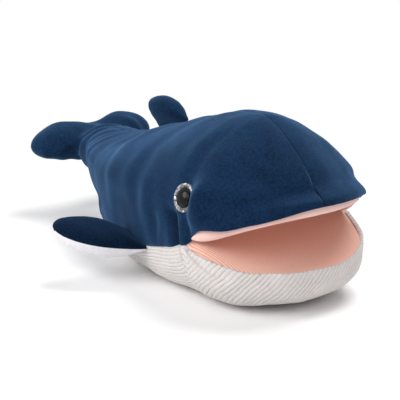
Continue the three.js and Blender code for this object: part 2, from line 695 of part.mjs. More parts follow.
const thumbPocket = (grow, past) =>
  pocketForm({
    base: (y) => lowerPlane(y) + lowerBoardBottom - SEAM_GAP,
    upward: -1,
    length: THUMB_POCKET_LENGTH,
    back: 0,
    halfWidth: THUMB_POCKET_HALF_WIDTH,
    height: THUMB_POCKET_HEIGHT,
    grow,
    past,
  });
const thumbLining = thumbPocket(0, 0).subtract(thumbPocket(-LINING_WALL, REACH_PAST)).intersect(jawRegion);
const jawRoof = toSolid(palateBoard(lowerPlane, lowerBoardBottom - SEAM_GAP, FAR, -REACH_PAST)).add(
  behind(-MOUTH_FOLD_RADIUS - 2 * SEAM_GAP).subtract(below(HINGE_Z + lowerBoardBottom - SEAM_GAP)),
);
addPiece("thumb_pocket", toGeometry(thumbLining.intersect(insideJaw)), LINING_CLOTH);
addPiece(
  "jaw_stuffing",
  toGeometry(insideJaw.intersect(jawRegion).subtract(jawRoof).subtract(thumbPocket(SEAM_GAP, REACH_PAST))),
  FIBRE_FILL,
);

// The binding sewn round the hand opening, laid along the underside.
function openingBinding() {
  const halfWidth = OPENING_HALF_WIDTH - BINDING_RADIUS - SEAM_GAP;
  const halfLength = OPENING_HALF_LENGTH - BINDING_RADIUS - SEAM_GAP;
  const path = Array.from({ length: ROUND_STEPS }, (_, i) => {
    const angle = (2 * Math.PI * i) / ROUND_STEPS;
    const x = halfWidth * Math.cos(angle);
    const y = OPENING_Y + halfLength * Math.sin(angle);
    const { halfWidth: side, edge, bottom } = upperSection(y, 0);
    const skin = edge - (edge - bottom) * arch(x / side, lowerPower(y));
    return new THREE.Vector3(x, y, Math.max(skin + COVER_WALL / 2, BINDING_RADIUS + SEAM_GAP));
  });
  const curve = new THREE.CatmullRomCurve3(path, true);
  const sides = 8;
  const rings = path.map((_, i) => {
    const at = curve.getPoint(i / ROUND_STEPS);
    const along = curve.getTangent(i / ROUND_STEPS);
    const across = new THREE.Vector3(0, 0, 1).cross(along).normalize();
    const up = new THREE.Vector3().crossVectors(along, across);
    return Array.from({ length: sides }, (_, j) => {
      const angle = (2 * Math.PI * j) / sides;
      return at
        .clone()
        .addScaledVector(across, BINDING_RADIUS * Math.cos(angle))
        .addScaledVector(up, BINDING_RADIUS * Math.sin(angle));
    });
  });
  return loft(rings, true);
}
addPiece("opening_binding", openingBinding(), LINING_CLOTH);

addPair("eye_pupil", eyePupil, BLACK_PLASTIC);
addPair("eye_ring", eyeRing, SILVER_GLITTER);
addPair("eye_washer", eyeWasher, PALE_PLASTIC);

// Fins: two sewn panels that meet at the edge seam, round a fibre core

const overMiddle = box(new THREE.Vector3(-FAR, -FAR, SEAM_GAP / 2), new THREE.Vector3(FAR, FAR, FAR));
const underMiddle = box(new THREE.Vector3(-FAR, -FAR, -FAR), new THREE.Vector3(FAR, FAR, -SEAM_GAP / 2));
const CORE_FROM = 0.3; // the fibre core starts at this share of a fin's reach

function leafPieces(leaf) {
  const outside = leafForm(leaf, 0);
  const hollow = leafForm(leaf, FIN_WALL, CORE_FROM);
  const panels = outside.subtract(hollow);
  return {
    over: toGeometry(panels.intersect(overMiddle)),
    under: toGeometry(panels.intersect(underMiddle)),
    core: toGeometry(leafForm(leaf, FIN_WALL + SEAM_GAP, CORE_FROM + SEAM_GAP / leaf.reach)),
  };
}

const pectoral = leafPieces(PECTORAL);
// The body's half-width at a height under its widest line.
function sideSkin(y, z) {
  const { halfWidth, edge, bottom } = upperSection(y, 0);
  return halfWidth * arch((edge - z) / (edge - bottom), lowerPower(y));
}
const rootRun = (PECTORAL.rootChord / 2) * Math.cos(rad(PECTORAL_PITCH));
const rootDrop = (PECTORAL.rootChord / 2) * Math.sin(rad(PECTORAL_PITCH));
const frontSkin = sideSkin(PECTORAL_ROOT_Y - rootRun, PECTORAL_ROOT_Z + rootDrop);
const rearSkin = sideSkin(PECTORAL_ROOT_Y + rootRun, PECTORAL_ROOT_Z - rootDrop);
const rootYaw = Math.atan2(rearSkin - frontSkin, 2 * rootRun);
const rootSkin = Math.max(sideSkin(PECTORAL_ROOT_Y, PECTORAL_ROOT_Z), (frontSkin + rearSkin) / 2);
for (const [side, flip] of [
  ["left", 1],
  ["right", -1],
]) {
  const group = new THREE.Group();
  group.position.set(flip * (rootSkin + PECTORAL_SEAT), PECTORAL_ROOT_Y, PECTORAL_ROOT_Z);
  group.rotation.set(-rad(PECTORAL_PITCH), flip * rad(PECTORAL_DIHEDRAL), -flip * rootYaw, "ZYX");
  const turned = (geometry) => (flip < 0 ? mirrored(geometry) : geometry);
  addPiece(`pectoral_fin_top_${side}`, turned(pectoral.over), NAVY_PLUSH, group);
  addPiece(`pectoral_fin_underside_${side}`, turned(pectoral.under), WHITE_PLUSH, group);
  addPiece(`pectoral_fin_stuffing_${side}`, turned(pectoral.core), FIBRE_FILL, group);
  whale.add(group);
}

const dorsal = leafPieces(DORSAL);
const dorsalSlope = Math.atan2(
  bodyTop(DORSAL_ROOT_Y + DORSAL.rootChord / 2) - bodyTop(DORSAL_ROOT_Y - DORSAL.rootChord / 2),
  DORSAL.rootChord,
);
const dorsalGroup = new THREE.Group();
dorsalGroup.position.set(0, DORSAL_ROOT_Y, bodyTop(DORSAL_ROOT_Y) + DORSAL_SEAT);
const upright = new THREE.Matrix4().makeBasis(
  new THREE.Vector3(0, 0, 1),
  new THREE.Vector3(0, 1, 0),
  new THREE.Vector3(-1, 0, 0),
);
dorsalGroup.setRotationFromMatrix(new THREE.Matrix4().makeRotationX(dorsalSlope).multiply(upright));
addPiece("dorsal_fin_right", dorsal.over, NAVY_PLUSH, dorsalGroup);
addPiece("dorsal_fin_left", dorsal.under, NAVY_PLUSH, dorsalGroup);
addPiece("dorsal_fin_stuffing", dorsal.core, FIBRE_FILL, dorsalGroup);
whale.add(dorsalGroup);

// Flukes: a top and a bottom panel round one core, sewn to the end of the tail

const flukeGroup = new THREE.Group();
flukeGroup.position.set(0, TAIL_Y + SEAM_GAP, tailZ - FLUKE_DROP);
flukeGroup.rotation.x = rad(FLUKE_PITCH);
const flukePanels = flukeForm(0).subtract(flukeForm(FIN_WALL));
addPiece("fluke_top", toGeometry(flukePanels.intersect(overMiddle)), NAVY_PLUSH, flukeGroup);
addPiece("fluke_underside", toGeometry(flukePanels.intersect(underMiddle)), NAVY_PLUSH, flukeGroup);
addPiece("fluke_stuffing", toGeometry(flukeForm(FIN_WALL + SEAM_GAP)), FIBRE_FILL, flukeGroup);
whale.add(flukeGroup);

whale.position.y = -REST_Y;

const puppet = new THREE.Group();
puppet.name = "whale_hand_puppet";
puppet.add(whale);

export default puppet;
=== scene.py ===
import math

import bmesh
import bpy
import numpy as np
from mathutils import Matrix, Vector


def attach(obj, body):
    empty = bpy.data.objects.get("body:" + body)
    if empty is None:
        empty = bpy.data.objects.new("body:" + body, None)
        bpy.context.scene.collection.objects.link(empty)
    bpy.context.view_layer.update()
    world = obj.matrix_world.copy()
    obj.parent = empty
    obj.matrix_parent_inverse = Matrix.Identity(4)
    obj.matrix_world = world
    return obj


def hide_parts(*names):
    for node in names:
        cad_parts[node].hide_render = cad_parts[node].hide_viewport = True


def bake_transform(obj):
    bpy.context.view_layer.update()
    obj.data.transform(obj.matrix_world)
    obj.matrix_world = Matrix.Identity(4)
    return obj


# Looks of a plush whale hand puppet: navy back, ribbed white underside, pink mouth, eyes, fins and flukes.
# Lengths are in millimetres from the mouth's fold, and go to metres in the part's frame as a mesh is made.

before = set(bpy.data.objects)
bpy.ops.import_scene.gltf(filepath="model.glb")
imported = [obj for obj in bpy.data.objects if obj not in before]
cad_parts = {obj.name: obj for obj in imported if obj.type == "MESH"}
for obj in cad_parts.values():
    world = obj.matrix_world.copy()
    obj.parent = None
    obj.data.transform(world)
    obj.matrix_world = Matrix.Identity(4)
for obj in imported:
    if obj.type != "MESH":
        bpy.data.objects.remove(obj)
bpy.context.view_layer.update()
scene = bpy.context.scene
scene.view_settings.view_transform = "Standard"

FOLD_BEHIND_ORIGIN = -60.0  # the mouth's fold lies this far along Y in the part's frame
HEAD_HALF_WIDTH, HEAD_TOP, MOUTH_DEPTH = 76.0, 142.0, 72.0
HINGE_Z, LIP_RISE, LIP_DROP = 59.0, math.tan(math.radians(18)), math.tan(math.radians(17))
PALATE_GAP, LIP_EDGE = 1.5, 6.8
MOUTH_POWER = 2.05  # of the mouth's oval, seen from above
TAIL_Y, TAIL_Z, TAIL_ROUND = 258.0, 68.0, 16.0
BELLY_END_Y, BELLY_END_Z = 160.0, 20.0
OPENING_Y, OPENING_HALF_WIDTH, OPENING_HALF_LENGTH = 184.0, 42.0, 34.0
OPENING_BELOW = 44.0  # only the cloth below this height is cut open


# Curves of the puppet's form


def ease(t):
    """A soft step from 0 to 1."""
    t = np.clip(t, 0.0, 1.0)
    return t * t * (3 - 2 * t)


def hill(away, width):
    """A soft bump of height 1, by the distance from its middle."""
    return np.exp(-((away / width) ** 2))


def slowing(count):
    """Shares from 0 to 1 that draw closer together towards 1."""
    return np.sin(np.linspace(0, math.pi / 2, count))


def arch(along, power):
    """Height of an oval over a share of its half-width."""
    return np.maximum(1 - np.minimum(np.abs(along), 1.0) ** power, 0.0) ** (1 / power)


def profile(points, starts_level=False):
    """A smooth curve through points, as a function."""
    xs, vs = zip(*points)
    slopes = []
    for i in range(len(points)):
        a, b = max(i - 1, 0), min(i + 1, len(points) - 1)
        slopes.append(0.0 if i == 0 and starts_level else (vs[b] - vs[a]) / (xs[b] - xs[a]))

    def at(y):
        i = min(max(int(np.searchsorted(xs, y)), 1), len(xs) - 1)
        span = xs[i] - xs[i - 1]
        t = min(max((y - xs[i - 1]) / span, 0.0), 1.0)
        rise = vs[i - 1] + (vs[i] - vs[i - 1]) * t * t * (3 - 2 * t)
        return rise + span * t * (1 - t) * (slopes[i - 1] * (1 - t) - slopes[i] * t)

    return at


body_half_width = profile([(0, HEAD_HALF_WIDTH), (120, 68), (190, 50), (TAIL_Y, 24)])
body_top = profile([(0, HEAD_TOP), (120, 114), (190, 92), (TAIL_Y, 84)], True)
body_bottom = profile([(0, -0.5), (120, -0.5), (190, 13), (TAIL_Y, 52)])
body_widest = profile([(0, HINGE_Z + LIP_EDGE), (TAIL_Y, TAIL_Z)])
under_power = profile([(0, 4.8), (120, 4.8), (TAIL_Y, 2.2)])
over_power = profile([(-MOUTH_DEPTH, 1.75), (0, 2.0), (TAIL_Y, 2.0)])


# The soft lip hangs below the stiff roof, lower on the whale's right: heights of its navy edge and of its pink
# underside, by distance forward.
RIGHT, LEFT = -1, 1
lip_top = {
    RIGHT: profile([(0, 50), (5, 52.3), (9, 57), (13, 61.8), (20, 66.3), (30, 68.9), (38, 69.9), (44, 71.6),
                    (51, 74.6), (59, 77.8), (66.3, 82), (72, 87)]),
    LEFT: profile([(0, 58.5), (10, 61.5), (20, 67), (30, 74), (37, 78), (50, 82.5), (60, 85), (72, 87)]),
}
lip_bottom = {
    RIGHT: profile([(0, 56), (9, 55.8), (17, 56.3), (29, 59.7), (39.5, 64.3), (50, 69.2), (58.5, 73), (72, 79)]),
    LEFT: profile([(0, 56), (10, 57), (20, 61.5), (30, 68), (37, 72.2), (50, 76), (60, 77.8), (72, 79)]),
}


# How much lower the soft rim of the jaw sags, by distance forward on the whale's right.
RIM_AT = (0, 7, 14, 20, 29, 36.5, 43, 49, 54, 58.6, 62.4, 66, 72)
RIM_SAG = (7, 7, 6.6, 5.9, 4.8, 4.3, 4.2, 4.0, 3.4, 2.3, 1.0, 0, 0)


def rim_sag(x, y):
    """How much lower the soft rim of the jaw sags than its stiff floor, more on the right; the front is raised."""
    f = np.maximum(-y, 0)
    right = np.interp(f, RIM_AT, RIM_SAG) * ease(f / 6)
    left = 1.5 * hill(f - 16, 11) * ease(f / 4) + 1.6 * hill(f - 54, 9)
    return np.where(x > 0, left, right) - 1.5 * hill(x, 26) * ease((f - 55) / 12)


def rim_bulge(x, y):
    """How much the jaw's left side stands out further forward."""
    return 4.5 * hill(y + 48, 16) * ease(x / 30)


def forward(y):
    """How far a row lies in front of the mouth's fold."""
    return max(-y, 0.0)


def side_seam(y):
    """Height of the side seam, which curves down from the mouth's corner to the belly's end."""
    t = np.linspace(0, 1, 60)
    ys = 2 * t * (1 - t) * 90 + t * t * BELLY_END_Y
    zs = (1 - t) ** 2 * 54 + 2 * t * (1 - t) * 30 + t * t * BELLY_END_Z
    return float(np.interp(y, ys, zs))


def section(y, inset=0.0):
    """Half-width, widest height, top and bottom of the body's cross-section."""
    if y < 0:
        share = forward(y) / (MOUTH_DEPTH - inset)
        edge = HINGE_Z + forward(y) * LIP_RISE + LIP_EDGE
        crown = HEAD_TOP - HINGE_Z - LIP_EDGE - inset
        return (HEAD_HALF_WIDTH - inset) * arch(share, MOUTH_POWER), edge, edge + crown * arch(share, 1.2), edge
    into = (y - (TAIL_Y - TAIL_ROUND)) / (TAIL_ROUND - inset / 2)
    rounding = arch(into, 2) if into > 0 else 1.0
    edge = body_widest(y)
    top = edge + (body_top(y) - edge - inset) * rounding
    bottom = edge - (edge - body_bottom(y) - inset) * rounding
    return (body_half_width(y) - inset) * rounding, edge, top, bottom


def oval(angle, power, half_width, middle, tall):
    """Points of an oval, squarer with a higher power than 2, as x and z or seen from above."""
    across, up = (np.sign(wave) * np.abs(wave) ** (2 / power) for wave in (np.cos(angle), np.sin(angle)))
    return np.stack([half_width * across, middle + tall * up], 1)


def half_outline(y, inset=0.0, steps=240, softer=0.0):
    """The left half of a cross-section, from the middle underneath to the middle on top, as x and z."""
    half_width, edge, top, bottom = section(y, inset)
    angle = np.linspace(-math.pi / 2, math.pi / 2, 2 * steps + 1)
    power = np.where(angle < 0, under_power(max(y, 0)) - softer, over_power(y))
    return oval(angle, power, half_width, edge, np.where(angle < 0, edge - bottom, top - edge))


def distances(line):
    """How far along a line each of its points is."""
    return np.concatenate([[0], np.cumsum(np.linalg.norm(np.diff(line, axis=0), axis=1))])


def evenly(line, count):
    """The same line with equally spaced points."""
    along = distances(line)
    if along[-1] < 1e-9:
        return np.repeat(line[:1], count, axis=0)
    at = np.linspace(0, along[-1], count)
    return np.stack([np.interp(at, along, line[:, k]) for k in range(line.shape[1])], 1)


def crossing(line, z):
    """Where a rising line first goes above a height: the number of the next point, and the place."""
    k = max(int(np.argmax(line[:, 1] > z)), 1)
    t = (z - line[k - 1, 1]) / max(line[k, 1] - line[k - 1, 1], 1e-9)
    return k, line[k - 1] + (line[k] - line[k - 1]) * min(max(t, 0), 1)


def cut_above(line, z):
    k, start = crossing(line, z)
    return np.concatenate([[start], line[k:]])


def cut_below(line, z):
    k, stop = crossing(line, z)
    return np.concatenate([line[:k], [stop]])


def at_y(flat, y):
    """The x and z points of a cross-section, set at a distance along the body."""
    return np.stack([flat[:, 0], np.full(len(flat), y), flat[:, 1]], 1)


def lumps(points, scale, seed):
    """Soft unevenness of a stuffed piece, about -1 to 1, as a few crossing waves of given length."""
    random = np.random.default_rng(seed)
    total = np.zeros(points.shape[:-1])
    for _ in range(7):
        direction = random.normal(size=3)
        direction *= 2 * math.pi / (scale * random.uniform(0.7, 1.6)) / np.linalg.norm(direction)
        total += np.sin(points @ direction + random.uniform(0, 2 * math.pi))
    return total / 3.2


def unit(directions):
    length = np.linalg.norm(directions, axis=-1, keepdims=True)
    return directions / np.maximum(length, 1e-9)


def outward(rows, middle):
    """Unit normals of a grid of points, on the side away from a place."""
    normal = unit(np.cross(np.gradient(rows, axis=0), np.gradient(rows, axis=1)))
    return -normal if np.sum(normal * (rows - np.asarray(middle))) < 0 else normal


# Meshes


def part_frame(points):
    return (np.asarray(points, float) + (0, FOLD_BEHIND_ORIGIN, 0)) / 1000


def cloth_panel(rows, marks=None):
    """A bmesh grid laid on rows of points. Marks are values kept at each point."""
    count_down, count_across = rows.shape[:2]
    made = bmesh.new()
    bmesh.ops.create_grid(made, x_segments=count_across - 1, y_segments=count_down - 1, size=1)
    at = part_frame(rows)
    layers = {name: made.verts.layers.float.new(name) for name in (marks or {})}
    for vert in made.verts:
        j = round((vert.co.x + 1) / 2 * (count_across - 1))
        i = round((vert.co.y + 1) / 2 * (count_down - 1))
        vert.co = at[i, j]
        for name, layer in layers.items():
            vert[layer] = marks[name][i, j]
    return made


def joined(*panels):
    """Panels laid edge to edge, as one bmesh."""
    whole = bmesh.new()
    for panel in panels:
        sheet = bpy.data.meshes.new("panel")
        panel.to_mesh(sheet)
        panel.free()
        whole.from_mesh(sheet)
        bpy.data.meshes.remove(sheet)
    return whole


def face_out(made, middle, inwards):
    """Turns the faces so that they look away from a point in millimetres, or towards it."""
    centre = Vector(part_frame(middle))
    bmesh.ops.recalc_face_normals(made, faces=made.faces)
    total = sum(f.normal.dot(f.calc_center_median() - centre) * f.calc_area() for f in made.faces)
    if (total < 0) != inwards:
        bmesh.ops.reverse_faces(made, faces=made.faces)


def weld(made, apart=2e-5):
    bmesh.ops.remove_doubles(made, verts=made.verts, dist=apart)


def finished(name, made, material=None, middle=None, inwards=False, smooth_levels=0, wall=0.0, apart=2e-5):
    """The object of a piece, facing away from its middle or inwards. A wall is the cloth's thickness."""
    if middle is not None:
        face_out(made, middle, inwards)
    weld(made, apart)
    sheet = bpy.data.meshes.new(name)
    made.to_mesh(sheet)
    made.free()
    sheet.polygons.foreach_set("use_smooth", [True] * len(sheet.polygons))
    piece = bpy.data.objects.new(name, sheet)
    scene.collection.objects.link(piece)
    if material:
        sheet.materials.append(material)
    if wall:
        thick = piece.modifiers.new("wall", "SOLIDIFY")
        thick.thickness, thick.offset = wall / 1000, -1
    if smooth_levels:
        smoother = piece.modifiers.new("smooth", "SUBSURF")
        smoother.levels = smoother.render_levels = smooth_levels
    return piece


# Materials


def linear(red, green, blue):
    values = [c / 255 for c in (red, green, blue)]
    return tuple(c / 12.92 if c <= 0.04045 else ((c + 0.055) / 1.055) ** 2.4 for c in values) + (1.0,)


class Nodes:
    """A small hand for wiring shader nodes."""

    def __init__(self, tree):
        self.tree = tree

    def fill(self, node, values):
        """Links each value that comes from a node to its socket, and sets each plain one."""
        for label, value in values.items():
            if isinstance(value, bpy.types.NodeSocket):
                self.tree.links.new(value, node.inputs[label])
            else:
                node.inputs[label].default_value = value

    def add(self, kind, inputs=None, **settings):
        node = self.tree.nodes.new(kind)
        for label, value in settings.items():
            setattr(node, label, value)
        self.fill(node, inputs or {})
        return node

    def math(self, operation, a, b=0.0):
        return self.add("ShaderNodeMath", {0: a, 1: b}, operation=operation).outputs[0]

    def plus(self, a, b):
        return self.math("ADD", a, b)

    def times(self, a, b):
        return self.math("MULTIPLY", a, b)

    def vector(self, operation, a, b=(0, 0, 0)):
        return self.add("ShaderNodeVectorMath", {0: a, 1: b}, operation=operation)

    def blend(self, share, a, b):
        return self.add("ShaderNodeMix", {0: share, 6: a, 7: b}, data_type="RGBA").outputs[2]

    def span(self, value, low, high, to_low=0.0, to_high=1.0):
        limits = {"From Min": low, "From Max": high, "To Min": to_low, "To Max": to_high}
        return self.add("ShaderNodeMapRange", {"Value": value, **limits}).outputs[0]

    def place(self):
        return self.add("ShaderNodeTexCoord").outputs["Object"]

    def mark(self, name):
        """A value that the mesh keeps at each point."""
        return self.add("ShaderNodeAttribute", attribute_name=name).outputs["Fac"]

    def noise(self, at, scale, detail=2.0, **more):
        return self.add("ShaderNodeTexNoise", {"Vector": at, "Scale": scale, "Detail": detail, **more}).outputs["Fac"]

    def relief(self, strength, distance, height):
        return self.add("ShaderNodeBump", {"Strength": strength, "Distance": distance, "Height": height}).outputs[0]

    def shown(self):
        """1 where the camera looks, straight, by reflection or through glass."""
        path = self.add("ShaderNodeLightPath").outputs
        mirrored = self.math("MAXIMUM", path["Is Glossy Ray"], path["Is Transmission Ray"])
        return self.math("MAXIMUM", path["Is Camera Ray"], mirrored)


def pile_group():
    """Short plush pile: brushed patches, tufts and single fibres, as a tint and a height."""
    group = bpy.data.node_groups.new("plush_pile", "ShaderNodeTree")
    for label, kind, default in (("Colour", "NodeSocketColor", (0.5, 0.5, 0.5, 1)),
                                 ("Brushed", "NodeSocketFloat", 0.3), ("Tuft", "NodeSocketFloat", 0.2)):
        group.interface.new_socket(label, in_out="INPUT", socket_type=kind).default_value = default
    for label, kind in (("Colour", "NodeSocketColor"), ("Height", "NodeSocketFloat")):
        group.interface.new_socket(label, in_out="OUTPUT", socket_type=kind)
    kit = Nodes(group)
    given, sink = kit.add("NodeGroupInput").outputs, kit.add("NodeGroupOutput")
    place = kit.place()
    lean = kit.add("ShaderNodeMapping", {"Vector": place, "Scale": (1, 0.55, 1.25)}).outputs[0]
    brushed = kit.noise(lean, 42, 5, Roughness=0.62, Distortion=0.8)
    tuft = kit.noise(place, 520, 3, Roughness=0.7)
    fibre = kit.noise(place, 1900, 2, Roughness=0.6)
    wide = kit.times(kit.span(brushed, 0.28, 0.72, -1, 1), given["Brushed"])
    fine = kit.times(kit.span(tuft, 0.3, 0.7, -1, 1), given["Tuft"])
    tinted = kit.vector("SCALE", given["Colour"])
    height = kit.plus(kit.times(tuft, 0.65), kit.times(fibre, 0.35))
    kit.fill(tinted, {"Scale": kit.plus(1.0, kit.plus(wide, fine))})
    kit.fill(sink, {"Colour": tinted.outputs[0], "Height": kit.plus(height, kit.times(brushed, 0.8))})
    return group


PILE = pile_group()


def new_material(name, kind, *given):
    """A material. Its kind is a function that adds nodes and returns the values of the shader."""
    material = bpy.data.materials.new(name)
    material.use_nodes = True
    kit = Nodes(material.node_tree)
    kit.fill(kit.tree.nodes["Principled BSDF"], kind(kit, *given))
    return material


def laid_pile(kit, colour, brushed, tuft):
    """The pile in a material, as its tint and its height."""
    values = {"Colour": linear(*colour), "Brushed": brushed, "Tuft": tuft}
    pile = kit.add("ShaderNodeGroup", values, node_tree=PILE)
    return pile.outputs["Colour"], pile.outputs["Height"]


def plush(kit, colour, brushed, tuft, sheen, sheen_tint, bump=0.35, seam=False):
    """Short-pile plush. With a seam, a sewn line runs along the middle of the back and its creases get painted shade.
    """
    tone, height = laid_pile(kit, colour, brushed, tuft)
    if seam:
        place = kit.add("ShaderNodeSeparateXYZ", {0: kit.place()}).outputs
        off = kit.math("ABSOLUTE", kit.plus(place["X"], kit.times(height, 0.0006)))
        line = kit.times(kit.span(off, 0.0005, 0.0014, 1, 0), kit.span(place["Z"], 0.062, 0.066))
        tone = kit.blend(kit.times(line, 0.6), tone, linear(5, 14, 30))
        height = kit.math("SUBTRACT", height, kit.times(line, 0.5))
        # Painted shade: the cheek's creases are darkened by their depth, where shade falls in them.
        tone = kit.blend(kit.times(kit.mark("painted_crease_shade"), 0.8), tone, linear(2, 8, 19))
    return {"Base Color": tone, "Normal": kit.relief(bump, 0.0012, height), "Roughness": 0.92,
            "Specular IOR Level": 0.06, "Sheen Weight": sheen, "Sheen Roughness": 0.45,
            "Sheen Tint": linear(*sheen_tint)}


def ribbed_knit(kit):
    """White plush whose sunk lines between the ribs get painted shade; the mesh counts the ribs in its rib attribute.
    """
    tone, height = laid_pile(kit, (211, 205, 203), 0.03, 0.07)
    place, sewn = kit.place(), kit.mark("sewn")
    count = kit.plus(kit.mark("rib"), kit.span(kit.noise(place, 260), 0, 1, -0.12, 0.12))
    off = kit.math("ABSOLUTE", kit.math("SUBTRACT", kit.math("FRACT", kit.plus(count, 0.5)), 0.5))
    patchy = kit.span(kit.noise(place, 75, 3), 0.35, 0.62, 0.25, 1)
    # Painted shade darkens the sunk lines between the ribs; the sewn seams and darts are drawn dark with them.
    deep = kit.math("MAXIMUM", kit.times(kit.span(off, 0.02, 0.15, 1, 0), patchy), sewn)
    tone = kit.blend(kit.times(deep, 0.85), tone, linear(160, 151, 146))
    rounded = kit.math("SUBTRACT", kit.span(off, 0.0, 0.3), kit.times(sewn, 0.8))
    relief = kit.relief(0.32, 0.0011, kit.plus(rounded, kit.times(height, 0.45)))
    return {"Base Color": tone, "Normal": relief, "Roughness": 0.94, "Specular IOR Level": 0.15,
            "Sheen Weight": 0.15}


def twill_jersey(kit):
    """Pink jersey with fine slanting wales, paler and smoother on the lip."""
    place, lip = kit.place(), kit.mark("lip")
    turned = kit.add("ShaderNodeMapping", {"Vector": place, "Rotation": (0, 0, math.radians(-17))}).outputs[0]
    wales = kit.add("ShaderNodeTexWave", {"Vector": turned, "Scale": 190, "Distortion": 0.5, "Detail": 1,
                                           "Detail Scale": 0.6}).outputs["Fac"]
    yarn, soft = kit.noise(place, 900), kit.noise(place, 28, 3)
    tone = kit.blend(kit.span(wales, 0.1, 0.9), linear(223, 165, 147), linear(243, 205, 188))
    tone = kit.blend(kit.span(yarn, 0.35, 0.75, 0, 0.25), tone, linear(212, 148, 128))
    pale = kit.blend(kit.span(soft, 0.35, 0.7), linear(223, 183, 175), linear(234, 199, 191))
    ribbing = kit.times(wales, kit.span(lip, 0, 1, 0.5, 0.0))
    relief = kit.relief(0.35, 0.0006, kit.plus(ribbing, kit.times(yarn, 0.3)))
    return {"Base Color": kit.blend(lip, tone, pale), "Normal": relief, "Roughness": 0.85,
            "Specular IOR Level": 0.2, "Sheen Weight": 0.2}


def woven(kit, dark, pale):
    place = kit.place()
    warp, weft = (kit.add("ShaderNodeTexWave", {"Vector": place, "Scale": 210}, bands_direction=axis).outputs["Fac"]
                  for axis in "XY")
    weave = kit.times(warp, weft)
    worn = kit.span(kit.noise(place, 60, 4), 0.2, 0.8, 0.6, 1)
    tone = kit.blend(kit.times(weave, worn), linear(*dark), linear(*pale))
    return {"Base Color": tone, "Normal": kit.relief(0.3, 0.0004, weave), "Roughness": 0.8}


def glossy_plastic(kit, colour, roughness):
    smear = kit.noise(kit.place(), 180, 3)
    tone = kit.blend(kit.span(smear, 0.3, 0.8, 0, 0.3), linear(*colour), linear(20, 18, 20))
    return {"Base Color": tone, "Specular IOR Level": 0.0, "Coat Weight": 0.42, "Coat Roughness": 0.1,
            "Roughness": kit.span(smear, 0.2, 0.8, roughness * 0.7, roughness * 1.5)}


def glitter(kit):
    """Silver flakes lying at many angles."""
    flakes = kit.add("ShaderNodeTexVoronoi", {"Vector": kit.place(), "Scale": 850, "Randomness": 1.0}).outputs["Color"]
    pushed = kit.vector("SCALE", kit.vector("SUBTRACT", flakes, (0.5, 0.5, 0.5)).outputs[0])
    kit.fill(pushed, {"Scale": 0.9})
    straight = kit.add("ShaderNodeNewGeometry").outputs["Normal"]
    leaning = kit.vector("NORMALIZE", kit.vector("ADD", straight, pushed.outputs[0]).outputs[0])
    grey = kit.add("ShaderNodeSeparateColor", {0: flakes}).outputs[0]
    tone = kit.blend(kit.math("POWER", grey, 1.6), linear(74, 73, 78), linear(232, 232, 236))
    return {"Base Color": tone, "Metallic": kit.span(grey, 0.0, 1.0, 0.4, 0.8),
            "Roughness": kit.span(grey, 0.0, 1.0, 0.4, 0.26), "Normal": leaning.outputs[0]}


def foam(kit, colour):
    cells = kit.add("ShaderNodeTexVoronoi", {"Vector": kit.place(), "Scale": 700}).outputs["Distance"]
    tone = kit.blend(kit.span(cells, 0, 0.7), linear(*colour), linear(200, 192, 180))
    return {"Base Color": tone, "Normal": kit.relief(0.3, 0.0005, cells), "Roughness": 0.8}


BLUE_SHEEN = (100, 142, 190)
NAVY = new_material("navy_plush", plush, (14, 38, 64), 0.3, 0.5, 0.55, BLUE_SHEEN)
# The fins' tops take a darker copy of the navy plush: painted shade.
NAVY_FIN_SHADED = new_material("navy_fin_plush_painted_shade", plush, (7, 25, 47), 0.3, 0.5, 0.24, (90, 132, 190))
NAVY_BACK = new_material("navy_back_plush", plush, (11, 35, 62), 0.28, 0.5, 0.73, BLUE_SHEEN, 0.35, True)
WHITE_PLUSH = new_material("white_fin_plush", plush, (221, 218, 223), 0.03, 0.06, 0.2, (255, 255, 255), 0.25)
RIBBED = new_material("white_ribbed_knit", ribbed_knit)
PINK = new_material("pink_jersey", twill_jersey)
LINING = new_material("lining_weave", woven, (34, 50, 80), (58, 78, 112))
BLACK = new_material("black_eye_plastic", glossy_plastic, (9, 8, 10), 0.12)
SILVER = new_material("silver_glitter", glitter)
FOAM = new_material("stiff_foam", foam, (233, 228, 218))
PALE_PLASTIC = new_material("pale_washer_plastic", foam, (222, 218, 210))


# Navy back: from the tail over the back to the snout

BACK_COLUMNS, RUMP_COLUMNS = 46, 24
SEAM_DROP = 6  # how far the navy hangs below the side seam
CORNER_DROP = {RIGHT: 4, LEFT: -4.5}  # the same at the mouth's corners


def lower_edge(y, side=RIGHT):
    """Where the navy ends: the side seam, the lip, or the line that carries on under the rump."""
    if y < 0:
        return lip_top[side](forward(y))
    if y <= BELLY_END_Y:
        lower = CORNER_DROP[side] + (SEAM_DROP - CORNER_DROP[side]) * ease(y / 25)
        return side_seam(y) - lower * ease((BELLY_END_Y - y) / 70)
    t = (y - BELLY_END_Y) / (TAIL_Y - BELLY_END_Y)
    return BELLY_END_Z + (TAIL_Z - BELLY_END_Z) * t ** 1.15


def back_line(y, side):
    """Half of a row over the back, from the navy's edge to the middle on top, as x and z."""
    below = lower_edge(y, side)
    if y >= 0:
        return evenly(cut_above(half_outline(y), below), BACK_COLUMNS)
    half_width, edge, top, _ = section(y)
    upper = oval(np.linspace(0, math.pi / 2, 200), over_power(y), half_width, edge, top - edge)
    if below < edge - 0.05:
        upper = np.concatenate([[[half_width, below]], upper])
    else:
        upper = cut_above(upper, below)
    return evenly(upper, BACK_COLUMNS)


def both_sides(y):
    """A row over the top, from the left edge to the right edge."""
    return at_y(np.concatenate([back_line(y, LEFT), back_line(y, RIGHT)[-2::-1] * (-1, 1)]), y)


def bump_at(rows, centre, radius, height):
    """How far a soft swelling or dent, round a place on the left and its mirror image, lifts each point."""
    mirrored = rows * np.sign(rows[..., :1] + 1e-9) ** np.array([1, 0, 0])
    offset = (mirrored - np.asarray(centre)) / np.asarray(radius)
    return height * np.exp(-np.sum(offset * offset, axis=-1))


def navy_edges(ys, rows):
    """The height of the navy's edge beside each point."""
    left, right = (np.array([[lower_edge(y, side)] for y in ys]) for side in (LEFT, RIGHT))
    return np.where(rows[..., 0] > 0, left, right)


